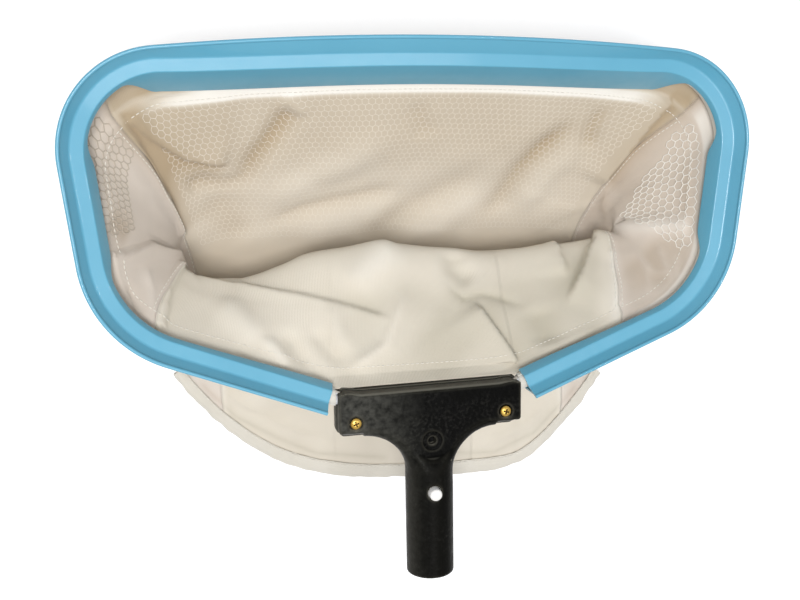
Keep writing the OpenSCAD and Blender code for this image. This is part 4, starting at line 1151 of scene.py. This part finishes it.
def moulded(node, name, passes, keep, blend=None, step=0.0):
    """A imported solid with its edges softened, and blended more between two values of y."""
    piece = node_copy(node, name)
    modify(piece, "REMESH", mode="VOXEL", voxel_size=VOXEL)
    modify(piece, "SMOOTH", factor=0.5, iterations=passes)
    if blend:
        applied(piece)
        group = piece.vertex_groups.new(name="blend")
        middle, half = (blend[0] + blend[1]) / 2, (blend[1] - blend[0]) / 2
        for v in piece.data.vertices:
            share = 1 - abs(v.co.y * 1000 - SHIFT_Y - middle) / half
            if share > 0 and v.co.z * 1000 - RIM_HEIGHT > -ROD_DROP + 2:
                group.add([v.index], min(1.0, 1.6 * share), "REPLACE")
        modify(piece, "SMOOTH", factor=0.5, iterations=MELT_PASSES, vertex_group="blend")
    modify(piece, "DECIMATE", ratio=keep)
    applied(piece)
    for v in piece.data.vertices:
        v.co = head_corner(v.co, step)
    painted(piece.data, HANDLE_PLASTIC)
    finished(piece, node)


def turned_mesh(name, profile, centre, direction):
    """A turned piece: a profile of (radius, height) about an upright axis."""
    work = bmesh.new()
    rings = []
    for radius, height in profile:
        angles = [2 * math.pi * k / LATHE_SIDES for k in range(LATHE_SIDES if radius else 1)]
        rings.append([work.verts.new(row_point((
            centre[0] + radius * math.cos(a), centre[1] + radius * math.sin(a),
            centre[2] + direction * height))) for a in angles])
    for low, high in zip(rings, rings[1:]):
        for k in range(LATHE_SIDES):
            m = (k + 1) % LATHE_SIDES
            corners = [ring[i % len(ring)] for ring, i in ((low, k), (low, m), (high, m), (high, k))]
            work.faces.new(list(dict.fromkeys(corners)))
    bmesh.ops.recalc_face_normals(work, faces=work.faces)
    mesh = bpy.data.meshes.new(name)
    work.to_mesh(mesh)
    work.free()
    return mesh


def make_screw(side, turn):
    """A cross-headed pan screw, turned by an angle in degrees."""
    name = f"pan_screw_{side}"
    x = SCREW_X if side == "right" else -SCREW_X
    seat = FACE_Z - 1.4
    profile = [(0, -16.0), (1.75, -16.0), (1.75, 0.0), (3.3, 0.0), (3.48, 0.18), (3.5, 0.8),
               (3.38, 1.25), (3.0, 1.72), (2.3, 2.08), (1.3, 2.28), (0, 2.34)]
    head = link_piece(name, turned_mesh(name, profile, (x, SCREW_Y, seat), 1), BRASS, 50)

    def cross(work):
        for angle in (0, 90):
            made = bmesh.ops.create_cube(work, size=1.0)["verts"]
            for v in made:
                wide = (0.0026, 0.0007, 0.0026) if v.co.z < 0 else (0.0044, 0.0011, 0.0026)
                v.co = [c * w for c, w in zip(v.co, wide)]
            rotate = Matrix.Rotation(math.radians(turn + angle), 4, "Z")
            where = Matrix.Translation(row_point((x, SCREW_Y, seat + 2.1))) @ rotate
            bmesh.ops.transform(work, matrix=where, verts=made)

    cutter = add_object("cross_recess", edited(bpy.data.meshes.new("cross_recess"), cross))
    modify(head, "BOOLEAN", operation="DIFFERENCE", object=cutter, solver="EXACT", use_self=True)
    applied(head)
    bpy.data.objects.remove(cutter)
    # The cross recess's faces are painted dark, as painted shade
    head.data.materials.append(RECESS_SHADE)
    axis = Vector(row_point((x, SCREW_Y, seat)))
    domes = sorted(q for q in profile if q[1] > 0.1)
    for face in head.data.polygons:
        out = (face.center - axis).xy.length * 1000
        dome = float(np.interp(out, *zip(*domes)))
        if out < 2.6 and 0.3 < (face.center.z - axis.z) * 1000 + 0.15 < dome:
            face.material_index = 1
    head.data.set_sharp_from_angle(angle=math.radians(40))
    finished(head, f"screw_{side}")


def make_button(side, direction):
    """A latch button: a round-topped pin on a flat pad."""
    pad_top, pad_radius, radius = 10.6, 5.4, 3.75
    top = TUBE_RADIUS + 3.4
    profile = [(0, pad_top - 1.2), (pad_radius - 0.2, pad_top - 1.2), (pad_radius, pad_top - 1.0),
               (pad_radius, pad_top - 0.2), (pad_radius - 0.2, pad_top), (radius + 0.15, pad_top),
               (radius, pad_top + 0.2), (radius, top - 1.5), (radius - 0.14, top - 1.0),
               (radius - 0.5, top - 0.58), (radius - 1.1, top - 0.3), (radius - 2.2, top - 0.1), (0, top)]
    name = f"latch_button_{side}"
    mesh = turned_mesh(name, profile, (0, BUTTON_Y, -ROD_DROP), direction)
    piece = link_piece(name, mesh, LATCH_PLASTIC, 50)
    finished(piece, f"clip_button_{side}", f"{side}_button")


def make_handle():
    moulded("handle_body", "handle_moulding", 8, 0.55, blend=(RING_Y - 32, RING_Y - 7.5))
    moulded("handle_back_plate", "back_plate_moulding", 4, 0.6, step=0.6)
    make_screw("left", 20)
    make_screw("right", -15)
    make_button("front", 1)
    make_button("rear", -1)
    for material, nodes in ((BRASS, ("nut_left", "nut_right")), (ROD_METAL, ("frame_rod",)),
                            (LATCH_PLASTIC, ("clip_bow", "clip_arm_front", "clip_arm_rear"))):
        for node in nodes:
            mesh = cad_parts[node].data
            mesh.materials.clear()
            mesh.materials.append(material)


# --------------------------------------------------------- floor, light, camera
CAMERA_TURNS, EYE, LENS = (10.0, 12.4, 3.2), (-17.4, 0.0, 528.6), 40.5
FLOOR_REACH, FLOOR_GLOW = 6.0, 0.2
LAMPS = [  # name, place, aim, size, power
    ("key", (-0.35, 0.02, 1.45), (0, 0.0, 0.05), 0.5, 12.5),
    ("window", (0.46, 0.1, 1.4), (0, 0.05, 0.1), 0.1, 1.3),
    ("sky", (0.1, -0.55, 1.5), (0, 0.0, 0.05), 0.8, 6.5)]


def seen_rays(tree, *more):
    """1 for the rays of the camera and of gloss, and of the kinds that are named."""
    rays = add_node(tree, "ShaderNodeLightPath").outputs
    seen = rays["Is Camera Ray"]
    for kind in ("Is Glossy Ray", *more):
        seen = math_node(tree, "MAXIMUM", seen, rays[kind])
    return seen


def make_floor():
    mesh = bpy.data.meshes.new("studio_floor")
    corners = ((-1, -1), (1, -1), (1, 1), (-1, 1))
    mesh.from_pydata([(x * FLOOR_REACH, y * FLOOR_REACH, 0) for x, y in corners], [], [(0, 1, 2, 3)])
    material, tree, shader = start_material(
        "pale floor", 0.9, Specular_IOR_Level=0.1, Base_Color=(0.93, 0.93, 0.93, 1),
        Emission_Color=(1, 1, 1, 1))
    glow = math_node(tree, "MULTIPLY", seen_rays(tree), FLOOR_GLOW)
    set_inputs(tree, shader, {"Emission Strength": glow})
    mesh.materials.append(material)
    floor = add_object("studio_floor", mesh)


def make_world():
    world = bpy.data.worlds.new("studio")
    bpy.context.scene.world = world
    world.use_nodes = True
    tree = world.node_tree
    tree.nodes.clear()
    soft = add_node(tree, "ShaderNodeBackground", {"Color": (0.93, 0.95, 1.0, 1), "Strength": 0.42})
    white = add_node(tree, "ShaderNodeBackground", {"Color": (1, 1, 1, 1)})
    mix = add_node(tree, "ShaderNodeMixShader", [
        seen_rays(tree, "Is Transmission Ray"), soft.outputs[0], white.outputs[0]])
    add_node(tree, "ShaderNodeOutputWorld", {"Surface": mix.outputs[0]})


def add_lamp(name, at, aim, size, power):
    data = bpy.data.lights.new(name, "AREA")
    data.shape = "DISK"
    data.size, data.energy = size, power
    lamp = add_object(name, data)
    lamp.location = at
    lamp.rotation_euler = (Vector(aim) - Vector(at)).to_track_quat("-Z", "Y").to_euler()


def make_camera():
    """A camera that looks down on the mouth, turned a little to the left."""
    tilt, pan, roll = (math.radians(a) for a in CAMERA_TURNS)
    view = Matrix.Rotation(roll, 3, "Z") @ Matrix.Rotation(pan, 3, "Y") @ Matrix.Rotation(tilt, 3, "X")
    eye = view.transposed() @ Vector(EYE)
    data = bpy.data.cameras.new("camera")
    data.sensor_fit, data.sensor_width, data.lens = "HORIZONTAL", 36.0, LENS
    data.clip_start, data.clip_end = 0.01, 50
    camera = add_object("camera", data)
    camera.matrix_world = Matrix.Translation(row_point(eye)) @ view.transposed().to_4x4()
    bpy.context.scene.camera = camera


make_camera()
make_edge()
make_hem()
make_binding(make_bag())
make_handle()
make_floor()
make_world()
for lamp in LAMPS:
    add_lamp(*lamp)

bpy.context.scene.view_settings.view_transform = "Standard"
